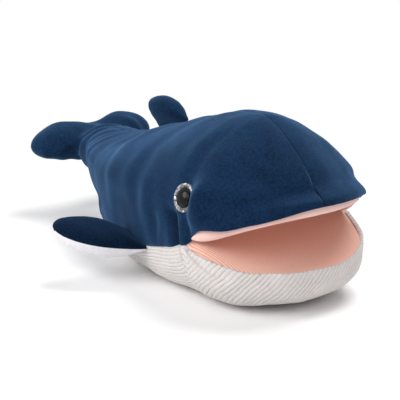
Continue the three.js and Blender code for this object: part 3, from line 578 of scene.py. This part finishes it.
def edged(mark):
    """A mark with the columns that turned edges add."""
    return np.concatenate([mark[:, [0, 0]], mark, mark[:, [-1, -1]]], 1)


def turned_edges(rows, normal, first, second):
    """Turns both long edges in under themselves, by two steps inwards and up."""
    turned = [[rows[:, end] - normal[:, end] * inwards + (0, 0, up) for inwards, up in (first, second)]
              for end in (0, -1)]
    return np.concatenate([np.stack(turned[0][::-1], 1), rows, np.stack(turned[1], 1)], 1)


# Creases of the cheek, where the cloth is drawn in under the eye and at the mouth's corner: the line of each
# one's bottom as height and distance back, its depth, and how far it takes to rise again behind and in front.
DEEPEST_CREASE = 5.6
CHEEK_CREASES = (
    ((46, 48, 60, 71, 77), (8, 8, 9, 15, 20), DEEPEST_CREASE, 17, 5),
    ((55, 57, 64, 73, 78), (-9, -9, -8, -4, -2), 2.2, 8, 4),
    ((40, 44, 56, 66, 70), (44, 44, 42, 46, 48), 1.2, 13, 7),
)
# Swellings and dents of the cheek: distance back and height, how wide each way, and how far they stand out.
CHEEK_X = 73
CHEEK_SWELLS = ((2, 87, 11, 12, -3.2), (4, 62, 5, 11, 1.2), (34, 60, 9, 16, 0.8), (64, 70, 9, 20, 1.0))
# Folds round the tail, where the flukes pull on it: distance back, depth and width.
TAIL_FOLDS = ((230, 1.5, 3.5), (219, 1.2, 3.0), (207, 0.8, 3.5))


def cheek_creases(rows):
    """How deep each point lies in a crease, in millimetres."""
    x, y, z = np.moveaxis(rows, -1, 0)
    deepest = np.zeros(y.shape)
    for heights, backs, depth, behind, before in CHEEK_CREASES:
        past = y - np.interp(z, heights, backs)
        fall = 1 - ease(np.where(past > 0, past / behind, -past / before))
        ends = ease((z - heights[0] + 4) / 8) * ease((heights[-1] - z) / 9)
        deepest = np.maximum(deepest, depth * fall * ends)
    return deepest * (np.abs(x) > 30)


def side_folds(rows):
    """Folds of the cheek: the eye is drawn in, the cheek swells before it and creases run down from it."""
    lift = -cheek_creases(rows)
    lift += bump_at(rows, (CHEEK_X, -14, 86), (40, 8.5, 16), 6.4) * np.where(rows[..., 0] > 0, 0.4, 1)
    for y, z, y_wide, z_wide, height in CHEEK_SWELLS:
        lift += bump_at(rows, (CHEEK_X, y, z), (40, y_wide, z_wide), height)
    return lift


def draw_in(made):
    """Draws the sides in above the hand's opening, where there is no stuffing."""
    x, y, z = np.array([vert.co for vert in made.verts]).T * 1000
    deep = 6 * hill(y - FOLD_BEHIND_ORIGIN - 188, 22) * hill(z - 38, 12) * ease((z - 27) / 8)
    for vert, inwards in zip(made.verts, np.sign(x) * np.minimum(deep, np.abs(x) / 4)):
        vert.co.x -= inwards / 1000
    return made


def make_back():
    round_y = TAIL_Y - TAIL_ROUND
    tail = [np.arange(1.5, 36, 1.5), np.arange(36, round_y, 3.0), round_y + TAIL_ROUND * slowing(9)]
    ys = np.concatenate([np.concatenate(tail)[::-1], -MOUTH_DEPTH * slowing(46)])
    rows = np.stack([both_sides(y) for y in ys])
    normal = outward(rows, (0, 60, 70))
    x, y, z = np.moveaxis(rows, -1, 0)
    edge = navy_edges(ys, rows)
    lift = 0.9 * lumps(rows, 55, 3) + 0.35 * lumps(rows, 22, 4)
    seam = (z > 60) * ease((z - edge) / 8)
    lift += seam * (0.1 * hill(np.abs(x) - 6, 3.5) - 0.28 * hill(x, 2.2))
    # The back dips behind the dorsal fin.
    lift -= 5 * hill(y - 159, 14) * hill(x, 36) * ease((z - 60) / 20)
    lift += side_folds(rows)
    # The lip flares a little at the front.
    front = ease((-y - 8) / 28)
    lift += front * (4.0 * hill(z - edge, 7) - 2.2 * hill(z - edge - 17, 8))
    for behind, depth, wide in TAIL_FOLDS:
        fold = behind - 0.5 * (z - 75) + 3 * lumps(rows, 60, 8)
        lift -= depth * hill(y - fold, wide) * ease(1 - np.abs(y - 222) / 45)
    # The head's upper sides are a little flatter than the solid's.
    lift -= 2.8 * ease((np.abs(x) - 8) / 30) * ease((z - 92) / 16) * ease((20 - y) / 20)
    # The tail's end goes inside the flukes' collar.
    lift -= 2.5 * ease((y - 245) / 9)
    rows = rows + normal * lift[..., None]
    # The two sides meet on the seam at the snout.
    for meeting in (rows[-1], normal[-1]):
        meeting[:] = (meeting + meeting[::-1]) / 2 * (0, 1, 1)
    # The depth of the cheek's creases, kept on the mesh for the painted shade that darkens them.
    painted_crease_shade = cheek_creases(rows) / DEEPEST_CREASE
    rows = turned_edges(rows, normal, (1.4, -0.7), (3.4, 0.4))
    top = cloth_panel(rows, {"painted_crease_shade": edged(painted_crease_shade)})
    # The rump underneath, with the hand's opening.
    rear = ys >= BELLY_END_Y
    under = []
    for row, at in zip(rows[rear], ys[rear]):
        left = at_y(evenly(cut_below(half_outline(at), lower_edge(at)), RUMP_COLUMNS)[::-1], at)
        line = np.concatenate([left, left[-2::-1] * (-1, 1, 1)])
        line[0], line[-1] = row[2], row[-3]
        under.append(line)
    under = np.stack(under)
    rump = open_for_hand(cloth_panel(under, {"painted_crease_shade": np.zeros(under.shape[:2])}))
    made = draw_in(joined(top, rump))
    return finished("back_plush", made, NAVY_BACK, (0, 90, 60), smooth_levels=1)


def open_for_hand(made, grow=0.0):
    """Cuts the hand's opening into a panel of the underside and draws its edge onto the oval."""
    half_x = (OPENING_HALF_WIDTH + grow) / 1000
    half_y = (OPENING_HALF_LENGTH + grow) / 1000
    middle = (OPENING_Y + FOLD_BEHIND_ORIGIN) / 1000

    def share(co):
        return math.hypot(co.x / half_x, (co.y - middle) / half_y)

    middles = ((f, f.calc_center_median()) for f in made.faces)
    inside = [f for f, at in middles if at.z < OPENING_BELOW / 1000 and share(at) < 1]
    edge = {v for f in inside for v in f.verts}
    bmesh.ops.delete(made, geom=inside, context="FACES")
    for vert in edge:
        if vert.is_valid:
            s = share(vert.co)
            vert.co.x /= s
            vert.co.y = middle + (vert.co.y - middle) / s
    return made


# Ribbed underside: belly, throat and jaw in one piece

BELLY_RIB, JAW_RIB, RIB_SLANT = 3.7, 3.3, math.radians(52)
UNDER_COLUMNS = 165
DART_START, DART_STOP = np.array([-3.0, 54.0]), np.array([-34.0, 35.0])  # distance back and height


def under_half(y, side):
    """Half of the underside's line from the middle out to its edge, as x and z, and the ribs counted along it."""
    behind = max(y, 0.0)
    softer = 1.2 * ease(1 - behind / 70)
    belly = evenly(cut_below(half_outline(behind, softer=softer), lower_edge(behind, side)), UNDER_COLUMNS)
    rim = HINGE_Z - forward(y) * LIP_DROP - PALATE_GAP
    share = forward(y) / MOUTH_DEPTH
    half_width = HEAD_HALF_WIDTH * arch(share, MOUTH_POWER)
    depth = (rim + 0.5) * arch(share, 2.8)
    power = 3.0 + 0.6 * ease(1 - forward(y) / 40)
    jaw = oval(np.linspace(math.pi / 2, 0, 300), power, half_width, rim, -depth)
    share = ease((12 - y) / 24)
    line = belly * (1 - share) + evenly(jaw, UNDER_COLUMNS) * share
    return line, distances(line) / BELLY_RIB


def jaw_ribs(rows):
    """Ribs of the jaw's side band, which slant up to the rim all the way round from the right to the left."""
    plan = oval(np.linspace(math.pi, 0, 400), MOUTH_POWER, HEAD_HALF_WIDTH, 0, MOUTH_DEPTH)
    x, f, z = rows[..., 0], np.maximum(-rows[..., 1], 0), rows[..., 2]
    bearing = np.arctan2(f / MOUTH_DEPTH, x / HEAD_HALF_WIDTH)
    at = np.arctan2(plan[:, 1] / MOUTH_DEPTH, plan[:, 0] / HEAD_HALF_WIDTH)[::-1]
    round_rim = np.interp(bearing, at, distances(plan)[::-1])
    ahead = np.interp(bearing, at, plan[::-1, 1])
    across = np.interp(bearing, at, plan[::-1, 0])
    inset = np.hypot(across - x, ahead - f)
    under = np.hypot(HINGE_Z - ahead * LIP_DROP - z, inset)
    return (round_rim * math.sin(RIB_SLANT) + under * math.cos(RIB_SLANT)) / JAW_RIB


def make_underside():
    ys = np.concatenate([np.arange(BELLY_END_Y + 1.5, 0, -1.25), -MOUTH_DEPTH * slowing(110)])
    at_fold = {side: under_half(0.0, side)[1][-1] for side in (LEFT, RIGHT)}
    rows, belly_ribs = [], []
    for y in ys:
        halves, counts = {}, {}
        for side in (LEFT, RIGHT):
            line, count = under_half(y, side)
            counts[side] = count * (at_fold[side] / count[-1] if y > 0 else 1)
            halves[side] = at_y(line * (side, 1), y)
        rows.append(np.concatenate([halves[RIGHT][::-1], halves[LEFT][1:]]))
        belly_ribs.append(np.concatenate([-counts[RIGHT][::-1], counts[LEFT][1:]]))
    rows = np.stack(rows)
    x, y, z = np.moveaxis(rows, -1, 0)
    normal = outward(rows, (0, 40, 45))
    # The jaw's panel is sewn to the belly's along a seam that runs down from the mouth's corners.
    seam_y = 3 + 4 * ease((z - 36) / 18) - 6 * ease((36 - z) / 30)
    wander = 0.16 * lumps(rows, 34, 11) + 0.1 * lumps(rows, 13, 12)
    ribs = np.where((y < seam_y) & (z > 6), jaw_ribs(rows), np.stack(belly_ribs)) + wander
    ridge = np.abs(np.sin(math.pi * ribs)) ** 0.7
    soft = 0.8 * lumps(rows, 45, 13) + 0.25 * lumps(rows, 12, 14)
    floor = ease(z / 6)
    seam = hill(y - seam_y, 1.0) * ease((z - 26) / 22)
    # A dart takes in the jaw's side under each corner.
    along, offset = DART_STOP - DART_START, rows[..., 1:] - DART_START
    t = np.clip(offset @ along / (along @ along), 0, 1)
    away = np.linalg.norm(offset - t[..., None] * along, axis=2)
    dart = 0.8 * hill(away, 1.1) * (1 - 0.8 * t) * (np.abs(x) > 40)
    sewn = np.maximum(seam, dart)
    lift = floor * (0.3 * (ridge - 0.7) + soft) - 1.4 * sewn
    # It goes in under the navy's edge, and the cheek's folds carry on below it.
    lift -= 2.6 * ease((z - navy_edges(ys, rows) + 1.2) / 2) * ease((y + 12) / 3)
    lift += np.where(y > -3, side_folds(rows) * ease((z - 40) / 14), 0) * ease((y + 3) / 6)
    rows = rows + normal * lift[..., None]
    rows[..., 2] -= rim_sag(x, y) * ease((z - 12) / 30)
    rows[..., 0] += rim_bulge(x, y) * ease((z - 8) / 20)
    # The rim is uneven where the ribs end, and stands up on the left.
    rim_rise = 0.6 * (ridge - 0.6) + 2.0 * ease((x - 30) / 20) * ease((-y - 4) / 8)
    for rim in (slice(0, 3), slice(-3, None)):
        rows[:, rim, 2] += rim_rise[:, rim]
    rows[..., 2] = np.maximum(rows[..., 2], 0.02)
    rows = turned_edges(rows, normal, (1.2, 0.5), (3.0, -1.2))
    made = draw_in(open_for_hand(cloth_panel(rows, {"rib": edged(ribs), "sewn": edged(sewn)})))
    return finished("ribbed_underside", made, RIBBED, (0, 40, 45))


# Mouth lining: the roof with its lip, the fold and the floor in one piece

CORNER_Z = 57.2  # where the floor ends at the mouth's corners


def make_mouth():
    def outline(inset):
        return oval(np.linspace(0, math.pi, 112), MOUTH_POWER, HEAD_HALF_WIDTH - inset, 0, inset - MOUTH_DEPTH)

    rim = outline(0.8)
    away = unit(np.gradient(rim, axis=0)[:, ::-1] * (-1, 1))
    away *= np.sign(np.sum(away * rim, axis=1, keepdims=True))
    # The lip: a soft roll that hangs under the navy edge and shrinks away at the corners.
    reach = -rim[:, 1]
    sides = np.where(rim[:, 0] > 0, LEFT, RIGHT)
    top, bottom = (np.array([line[side](f) for side, f in zip(sides, reach)]) for line in (lip_top, lip_bottom))
    grown = ease((reach - 3) / 8)
    top = np.maximum(top, bottom)
    middle = (top + bottom) / 2 + 0.8 * grown
    tall = ((top - bottom) / 2 + 1.2) * grown
    wide = 0.6 + 2.9 * grown
    lip = []
    for angle in np.radians(np.linspace(-170, 85, 16)):
        flat = rim + away * (wide * math.cos(angle) - 3.9)[:, None]
        lip.append(np.concatenate([flat, (middle + tall * math.sin(angle))[:, None]], 1))
    roof = []
    for t in slowing(34)[:-1]:
        flat = lip[0][:, :2] * t
        f = -flat[:, 1]
        high = HINGE_Z + f * LIP_RISE + PALATE_GAP * ease(f / 9) + 2 * (1 - t * t) * ease(f / 18)
        k = ease((t - 0.75) / 0.25)
        roof.append(np.concatenate([flat, (high * (1 - k) + lip[0][:, 2] * k)[:, None]], 1))
    upper = np.stack(roof + lip)
    is_lip = np.zeros(upper.shape[:2])
    is_lip[len(roof):] = 1
    floor = []
    side = outline(1.2)
    for t in slowing(40):
        flat = side * t
        f = -flat[:, 1]
        low = HINGE_Z - f * LIP_DROP - (PALATE_GAP + 0.4) * ease(f / 9) - 1.0 * (1 - t * t) * ease(f / 22)
        k = ease((t - 0.75) / 0.25) * (1 - ease(f / 9))
        low = low * (1 - k) + CORNER_Z * k - rim_sag(side[:, 0], side[:, 1]) * t ** 18
        wide = flat[:, 0] + rim_bulge(side[:, 0], side[:, 1]) * t ** 3
        floor.append(np.stack([wide, flat[:, 1], low], 1))
    lower = np.stack(floor)
    made = joined(cloth_panel(upper, {"lip": is_lip}), cloth_panel(lower, {"lip": np.zeros(lower.shape[:2])}))
    weld(made)
    return finished("mouth_lining", made, PINK, (0, -30, 58), inwards=True, smooth_levels=1)


# Fins

FIN_COLUMNS = 41
PECTORAL = {"reach": 62, "root": 42, "chord": 46, "thickness": 23, "sweep": 24, "belly": 1.3, "front_lift": 4,
            "inside": (-0.1, -0.05), "gathers": 8.5, "origin": (71.225, 80, 31.5),
            "reach_axis": (0.9932, 0.0446, 0.1045), "chord_axis": (-0.0729, 0.9679, 0.2406)}
DORSAL = {"reach": 26, "root": 50, "chord": 44, "thickness": 18, "sweep": 19, "belly": 1, "front_lift": 0,
          "inside": (-0.3, -0.2, -0.1), "gathers": 7.5, "origin": (0, 136.5, 109.3),
          "reach_axis": (0, 0.3035, 0.9528), "chord_axis": (0, 0.9528, -0.3035)}


def leaf_half(spec, side, seed):
    """One sewn half of a stuffed fin, in the fin's own frame: reach along X, chord along Y, thickness along Z."""
    angle = np.linspace(0, math.pi, FIN_COLUMNS)
    rows = []
    for share in np.concatenate([spec["inside"], slowing(34) * 0.9995]):
        inside = max(share, 0.0)
        grown = math.sin(math.pi / 2 * min(inside / 0.45, 1))
        tip = arch(max((inside - 0.45) / 0.55, 0), 2.2)
        half_chord = (spec["root"] + (spec["chord"] - spec["root"]) * grown) / 2 * tip * (1 + 1.5 * min(share, 0))
        half = (5 + (spec["thickness"] - 5) * grown) / 2 * tip * (spec["belly"] if side < 0 else 1)
        y = spec["sweep"] * inside ** 1.2 + half_chord * np.cos(angle)
        z = side * half * np.sin(angle) ** 0.85
        z = z + spec["front_lift"] * (1 - inside) * np.maximum(-np.cos(angle), 0) ** 2
        rows.append(np.stack([np.full(FIN_COLUMNS, spec["reach"] * share), y, z], 1))
    rows = np.stack(rows)
    # Small gathers run in from the edge seam.
    across = np.linspace(0, 1, FIN_COLUMNS)
    from_edge = np.minimum(across, 1 - across) * spec["chord"]
    wave = rows[..., 0] * 2 * math.pi / spec["gathers"] + lumps(rows, 30, seed)
    gather, swell = np.sin(wave) * np.exp(-from_edge / 5), 0.5 * lumps(rows, 26, seed + 1)
    rows[..., 2] += side * np.sin(angle) ** 0.5 * (0.7 * gather + swell)
    return rows


def fin_half(name, spec, side, seed, material, flip=1):
    """One half of a fin where it is sewn on, or with flip -1 its mirror image."""
    reach, chord = np.array(spec["reach_axis"]), unit(np.array(spec["chord_axis"]))
    reach = unit(reach - chord * (reach @ chord))
    axes = np.stack([reach, chord, np.cross(reach, chord)])
    rows = leaf_half(spec, side, seed)
    middle = rows.mean(axis=(0, 1)) - (0, 0, 8.0 * side)
    rows, middle = ((spec["origin"] + at @ axes) * (flip, 1, 1) for at in (rows, middle))
    return finished(name, cloth_panel(rows), material, middle, smooth_levels=1)


def make_pectorals():
    return [(fin_half(f"pectoral_{half}_{side}", PECTORAL, up, seed, material, flip), side, half)
            for side, flip in (("left", 1), ("right", -1))
            for half, up, seed, material in (("top", 1, 21, NAVY_FIN_SHADED), ("underside", -1, 31, WHITE_PLUSH))]


def make_dorsal():
    return [(fin_half(f"dorsal_plush_{name}", DORSAL, side, seed, NAVY), name)
            for name, side, seed in (("right", 1, 41), ("left", -1, 51))]


# Flukes with the collar that joins them to the tail

FLUKE_COLUMNS = 49
FLUKE_ROOT_Y, FLUKE_ROOT_Z = 258.3, 65
FLUKE_REACH, FLUKE_DROOP = {RIGHT: 58, LEFT: 67}, {RIGHT: 11, LEFT: 5}
COLLAR_FRONT_Y = 236.0


def fluke_leaf():
    """Both flukes in one stuffed leaf from tip to tip, the left one longer and higher."""
    pitch = math.radians(9)
    angle = np.linspace(0, 2 * math.pi, FLUKE_COLUMNS)
    rows = []
    for share in np.sin(np.linspace(-math.pi / 2, math.pi / 2, 49) * 0.995):
        out, side = abs(share), RIGHT if share < 0 else LEFT
        lobe = math.sin(math.pi / 2 * min(out / 0.5, 1))
        tip = arch(max((out - 0.5) / 0.5, 0), 2.0)
        chord, thickness = 44 + 8 * lobe, 24 + 4 * lobe
        y = chord / 2 + 10 * out ** 1.6 + chord / 2 * tip * np.cos(angle)
        z = thickness / 2 * tip * np.sin(angle)
        z = np.where(z < 0, z * (1 + 0.45 * ease((0.8 - out) / 0.5)), z)
        turned_y = y * math.cos(pitch) - z * math.sin(pitch)
        turned_z = y * math.sin(pitch) + z * math.cos(pitch)
        droop = FLUKE_DROOP[side] * max((out - 0.35) / 0.65, 0) ** 1.4 - 3.5 * ease((share - 0.25) / 0.45)
        x = np.full(FLUKE_COLUMNS, FLUKE_REACH[side] * share)
        rows.append(np.stack([x, FLUKE_ROOT_Y + turned_y, FLUKE_ROOT_Z - droop + turned_z], 1))
    return cloth_panel(np.stack(rows))


def tail_collar():
    """The collar round the tail's end, closed in front and behind."""
    stations = np.linspace(228, 268, 18)
    rings = []
    for k, y in enumerate(np.concatenate([stations[:1], stations, stations[-1:]])):
        grow = -1.4 + 2.6 * ease((y - 232) / 18)
        half = half_outline(min(y, 241.9), -grow, 24)
        ring = np.concatenate([half, half[-2::-1] * (-1, 1)])
        middle = np.array([0, ring[:, 1].mean()])
        size = 0.01 if k in (0, len(stations) + 1) else 1.0 - 0.25 * ease((y - 250) / 18)
        rings.append(at_y(middle + (ring - middle) * size, y))
    return cloth_panel(np.stack(rings))


def make_flukes():
    made = joined(fluke_leaf(), tail_collar())
    weld(made, 1e-4)
    bmesh.ops.holes_fill(made, edges=made.edges, sides=0)
    bmesh.ops.recalc_face_normals(made, faces=made.faces)
    rough = finished("fluke_union", made)
    remesh = rough.modifiers.new("union", "REMESH")
    remesh.mode, remesh.voxel_size = "VOXEL", 0.002
    whole = bpy.data.meshes.new_from_object(rough.evaluated_get(bpy.context.evaluated_depsgraph_get()))
    bpy.data.objects.remove(rough)
    made = bmesh.new()
    made.from_mesh(whole)
    bpy.data.meshes.remove(whole)
    every_way = {f"use_axis_{axis}": True for axis in "xyz"}
    for _ in range(14):
        bmesh.ops.smooth_vert(made, verts=made.verts, factor=0.5, **every_way)
    made.normal_update()
    # Creases where the flukes leave the tail, and gathers along their edge seams.
    for vert in made.verts:
        x, y, z = (1000 * along for along in vert.co)
        y -= FOLD_BEHIND_ORIGIN
        crease = 254 - 0.45 * (z - 72) + 0.1 * abs(x)
        deep = 1.5 * hill(y - crease, 3.2) - 0.5 * hill(y - crease - 6, 3)
        fold = 0.7 * hill(y - 272, 12) * math.sin(0.34 * abs(x) + 0.12 * y)
        puff = 0.5 * math.sin(x * 0.2 + 0.6) * math.sin(y * 0.17) + fold
        vert.co -= vert.normal * (deep - puff) / 1000
        # A valley beside the middle sets the left fluke off as a round lobe.
        vert.co.z -= 5 * hill(x - 15, 9) * hill(y - 282, 17) * ease((z - 68) / 10) / 1000
    bmesh.ops.bisect_plane(made, geom=made.verts[:] + made.edges[:] + made.faces[:], plane_no=(0, -1, 0),
                           plane_co=part_frame((0, COLLAR_FRONT_Y, 0)), clear_outer=True)
    made.normal_update()
    return finished("fluke_plush", made, NAVY, smooth_levels=1)


# Eyes

EYE_Y, EYE_Z, EYE_LOWERED = 2.0, 87.0, 0.6
EYE_TURN = math.radians(6)  # forward


def eye_frame():
    half_width, edge, top, _ = section(EYE_Y)

    def reach(z):
        return half_width * arch((z - edge) / (top - edge), over_power(EYE_Y))

    tilt = math.atan2(reach(EYE_Z - 0.5) - reach(EYE_Z + 0.5), 1.0)
    out = Vector((math.cos(tilt) * math.cos(EYE_TURN), -math.cos(tilt) * math.sin(EYE_TURN), math.sin(tilt)))
    turned = Vector((0, 0, 1)).rotation_difference(out).to_matrix()
    return np.array((reach(EYE_Z), EYE_Y, EYE_Z - EYE_LOWERED)), np.array(turned)


EYE_AT, EYE_TURNED = eye_frame()


def turned_piece(name, outline, side, material):
    """A piece turned on the eye's axis from radius and height points."""
    radius, height = np.array(outline).T[..., None]
    angle = np.linspace(0, 2 * math.pi, 65)
    spun = np.stack(np.broadcast_arrays(radius * np.cos(angle), radius * np.sin(angle), height), -1)
    rows = EYE_AT + spun @ EYE_TURNED.T
    made = cloth_panel(rows * (-1 if side == "right" else 1, 1, 1))
    weld(made, 1e-6)
    bmesh.ops.recalc_face_normals(made, faces=made.faces)
    return finished(f"{name}_{side}", made, material, apart=1e-6)


def make_eyes():
    ring_back, ring_front, hole = -1.7, 0.5, 2.3
    dome = [(7.8 * math.cos(a), ring_front + 0.3 + 4.0 * math.sin(a)) for a in np.linspace(0, math.pi / 2, 16)]
    dome[-1] = (0, dome[-1][1])
    pupil = [(0, -10.5), (2, -10.5), (2, ring_front), (7.4, ring_front)] + dome
    # The ring is a shallow dish with a rolled rim.
    rim = [(10.3 + 0.9 * math.cos(a), 0.8 + 0.9 * math.sin(a)) for a in np.linspace(0, 2.2, 8)]
    dish = [(8.3, ring_front + 0.05), (hole, ring_front - 0.1), (hole, ring_back)]
    ring = [(hole, ring_back), (11.0, ring_back)] + rim + dish
    return [(turned_piece("eye_dome", pupil, side, BLACK), turned_piece("eye_glitter", ring, side, SILVER), side)
            for side in ("left", "right")]


# Hand opening: binding, sleeve lining and pockets

HEM_POINTS, HEM_INSET, HEM_RADIUS, HEM_LOWEST = 96, 3.5, 3.2, 3.5
SLEEVE_INSET, LINING_WALL = 6.2, 1.2


def hem_path():
    path = []
    turn = np.linspace(0, 2 * math.pi, HEM_POINTS, endpoint=False)
    for x, y in oval(turn, 2, OPENING_HALF_WIDTH - HEM_INSET, OPENING_Y, OPENING_HALF_LENGTH - HEM_INSET):
        half_width, edge, _, bottom = section(y)
        skin = edge - (edge - bottom) * arch(x / half_width, under_power(y))
        path.append((x, y, max(skin + 2.5, HEM_LOWEST)))
    return np.array(path)


def make_hem():
    path = hem_path()
    along = unit(np.roll(path, -1, 0) - np.roll(path, 1, 0))
    across = unit(np.cross((0, 0, 1.0), along))
    up = np.cross(along, across)
    angle = np.linspace(0, 2 * math.pi, 15)[:, None]
    rows = []
    for k in range(HEM_POINTS + 1):
        i = k % HEM_POINTS
        fat = HEM_RADIUS * (1 + 0.03 * math.sin(2 * math.pi * k / 3))
        rows.append(path[i] + fat * (np.cos(angle) * across[i] + np.sin(angle) * up[i]))
    made = cloth_panel(np.stack(rows))
    weld(made)
    bmesh.ops.recalc_face_normals(made, faces=made.faces)
    return finished("opening_hem", made, LINING, smooth_levels=1)


def make_sleeve():
    rows = []
    for y in np.linspace(14, 222, 60):
        half = evenly(half_outline(y, SLEEVE_INSET), 40)
        rows.append(at_y(np.concatenate([half[::-1] * (-1, 1), half[1:]]), y))
    rows = np.stack(rows)
    # It stays clear of the fins' roots, which swing a little inside the body.
    inward = np.minimum(0.8 * lumps(rows, 28, 61), 0) + bump_at(rows, (66, 80, 32), (30, 32, 24), -4)
    rows += outward(rows, (0, 120, 55)) * inward[..., None]
    made = draw_in(open_for_hand(cloth_panel(rows), -1.0))
    weld(made)
    return finished("sleeve_cloth", made, LINING, (0, 120, 55), wall=LINING_WALL)


def make_pocket(name, length, back, half_width, height, middle):
    angle = np.linspace(0, 2 * math.pi, 49)
    rows = []
    for share in 1 - np.cos(np.linspace(0, math.pi / 2, 24)):
        y = -length + (back + length) * share
        size = arch(1 - min(0.02 + share * 3, 1), 2)
        rows.append(at_y(oval(angle, 3, half_width * size, middle(y), height / 2 * size), y))
    made = cloth_panel(np.stack(rows))
    weld(made)
    halfway = (back - length) / 2
    return finished(name, made, LINING, (0, halfway, middle(halfway)), wall=LINING_WALL)


back = make_back()
underside = make_underside()
mouth = make_mouth()
pectorals = make_pectorals()
dorsals = make_dorsal()
flukes = make_flukes()
eyes = make_eyes()
hem = make_hem()
sleeve = make_sleeve()
fingers = make_pocket("finger_pocket_cloth", 46, 36, 49, 27, lambda y: HINGE_Z + forward(y) * LIP_RISE + 23.6)
thumb = make_pocket("thumb_pocket_cloth", 49, -3, 23.5, 23, lambda y: HINGE_Z - forward(y) * LIP_DROP - 21.6)

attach(back, "body")
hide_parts("back_cover_left", "back_cover_right", "head_stuffing", "tail_stuffing")
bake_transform(underside)
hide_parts("belly_panel", "throat_gusset", "jaw_cover", "jaw_stuffing")
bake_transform(mouth)
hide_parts("upper_palate", "mouth_fold", "lower_palate")
for piece, side, half in pectorals:
    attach(piece, f"pectoral_fin_{side}")
    stuffing = (f"pectoral_fin_stuffing_{side}",) if half == "top" else ()
    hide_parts(f"pectoral_fin_{half}_{side}", *stuffing)
for piece, side in dorsals:
    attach(piece, "dorsal_fin")
    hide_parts(f"dorsal_fin_{side}", *(("dorsal_fin_stuffing",) if side == "right" else ()))
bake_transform(flukes)
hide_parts("fluke_top", "fluke_underside", "fluke_stuffing")
for dome, ring, side in eyes:
    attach(dome, "body")
    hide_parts(f"eye_pupil_{side}")
    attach(ring, "body")
    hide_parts(f"eye_ring_{side}")
for piece, body, node in ((hem, "body", "opening_binding"), (sleeve, "body", "sleeve_lining"),
                          (fingers, "body", "finger_pocket"), (thumb, "jaw", "thumb_pocket")):
    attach(piece, body)
    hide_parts(node)
for node, material in (("upper_palate_board", FOAM), ("lower_palate_board", FOAM),
                       ("eye_washer_left", PALE_PLASTIC), ("eye_washer_right", PALE_PLASTIC)):
    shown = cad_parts[node]
    shown.data.materials.clear()
    shown.data.materials.append(material)


# Floor, light and camera


def white_ground(kit):
    """A white floor that runs out into plain white away from the object."""
    place, nodes = kit.place(), kit.tree.nodes
    white = kit.add("ShaderNodeEmission", {"Strength": 1.0})
    far = kit.times(kit.span(kit.vector("LENGTH", place).outputs["Value"], 0.2, 0.38), kit.shown())
    both = kit.add("ShaderNodeMixShader", {0: far, 1: nodes["Principled BSDF"].outputs[0], 2: white.outputs[0]})
    kit.fill(nodes["Material Output"], {"Surface": both.outputs[0]})
    tone = kit.blend(kit.noise(place, 30), linear(253, 253, 253), linear(255, 255, 255))
    return {"Base Color": tone, "Roughness": 1.0, "Specular IOR Level": 0.0}


def make_floor():
    made = bmesh.new()
    bmesh.ops.create_grid(made, x_segments=2, y_segments=2, size=6)
    floor = finished("floor", made, new_material("white_floor", white_ground))
    floor.location.z = -0.0003


def make_world():
    world = bpy.data.worlds.new("studio")
    world.use_nodes = True
    kit = Nodes(world.node_tree)
    kit.fill(world.node_tree.nodes["Background"],
             {"Color": (1, 1, 1, 1), "Strength": kit.span(kit.shown(), 0, 1, 0.32, 1.0)})
    scene.world = world


def make_lamp(name, at, towards, size, power):
    lamp = bpy.data.lights.new(name, "AREA")
    lamp.shape, lamp.size, lamp.energy = "DISK", size, power
    shown = bpy.data.objects.new(name, lamp)
    shown.location = at
    shown.rotation_euler = (Vector(towards) - Vector(at)).to_track_quat("-Z", "Y").to_euler()
    scene.collection.objects.link(shown)


def make_camera():
    turn, rise, distance = math.radians(-32.6), math.radians(16.0), 1.1893
    target = Vector((0, 0.0344, 0.0511))
    back_off = Vector((math.sin(turn) * math.cos(rise), -math.cos(turn) * math.cos(rise), math.sin(rise)))
    lens = bpy.data.cameras.new("camera")
    lens.sensor_width, lens.lens = 36, 127.3
    camera = bpy.data.objects.new("camera", lens)
    camera.location = target + back_off * distance
    camera.rotation_euler = (-back_off).to_track_quat("-Z", "Y").to_euler()
    scene.collection.objects.link(camera)
    scene.camera = camera


make_floor()
make_world()
make_lamp("window", (-1.4, 0.15, 1.0), (0, 0.02, 0.06), 1.2, 17.5)
make_lamp("top", (0.75, 0.15, 1.5), (0, 0, 0.05), 1.1, 22)
make_lamp("front", (-0.9, -1.0, 1.0), (0, -0.05, 0.05), 1.1, 5.5)
make_camera()
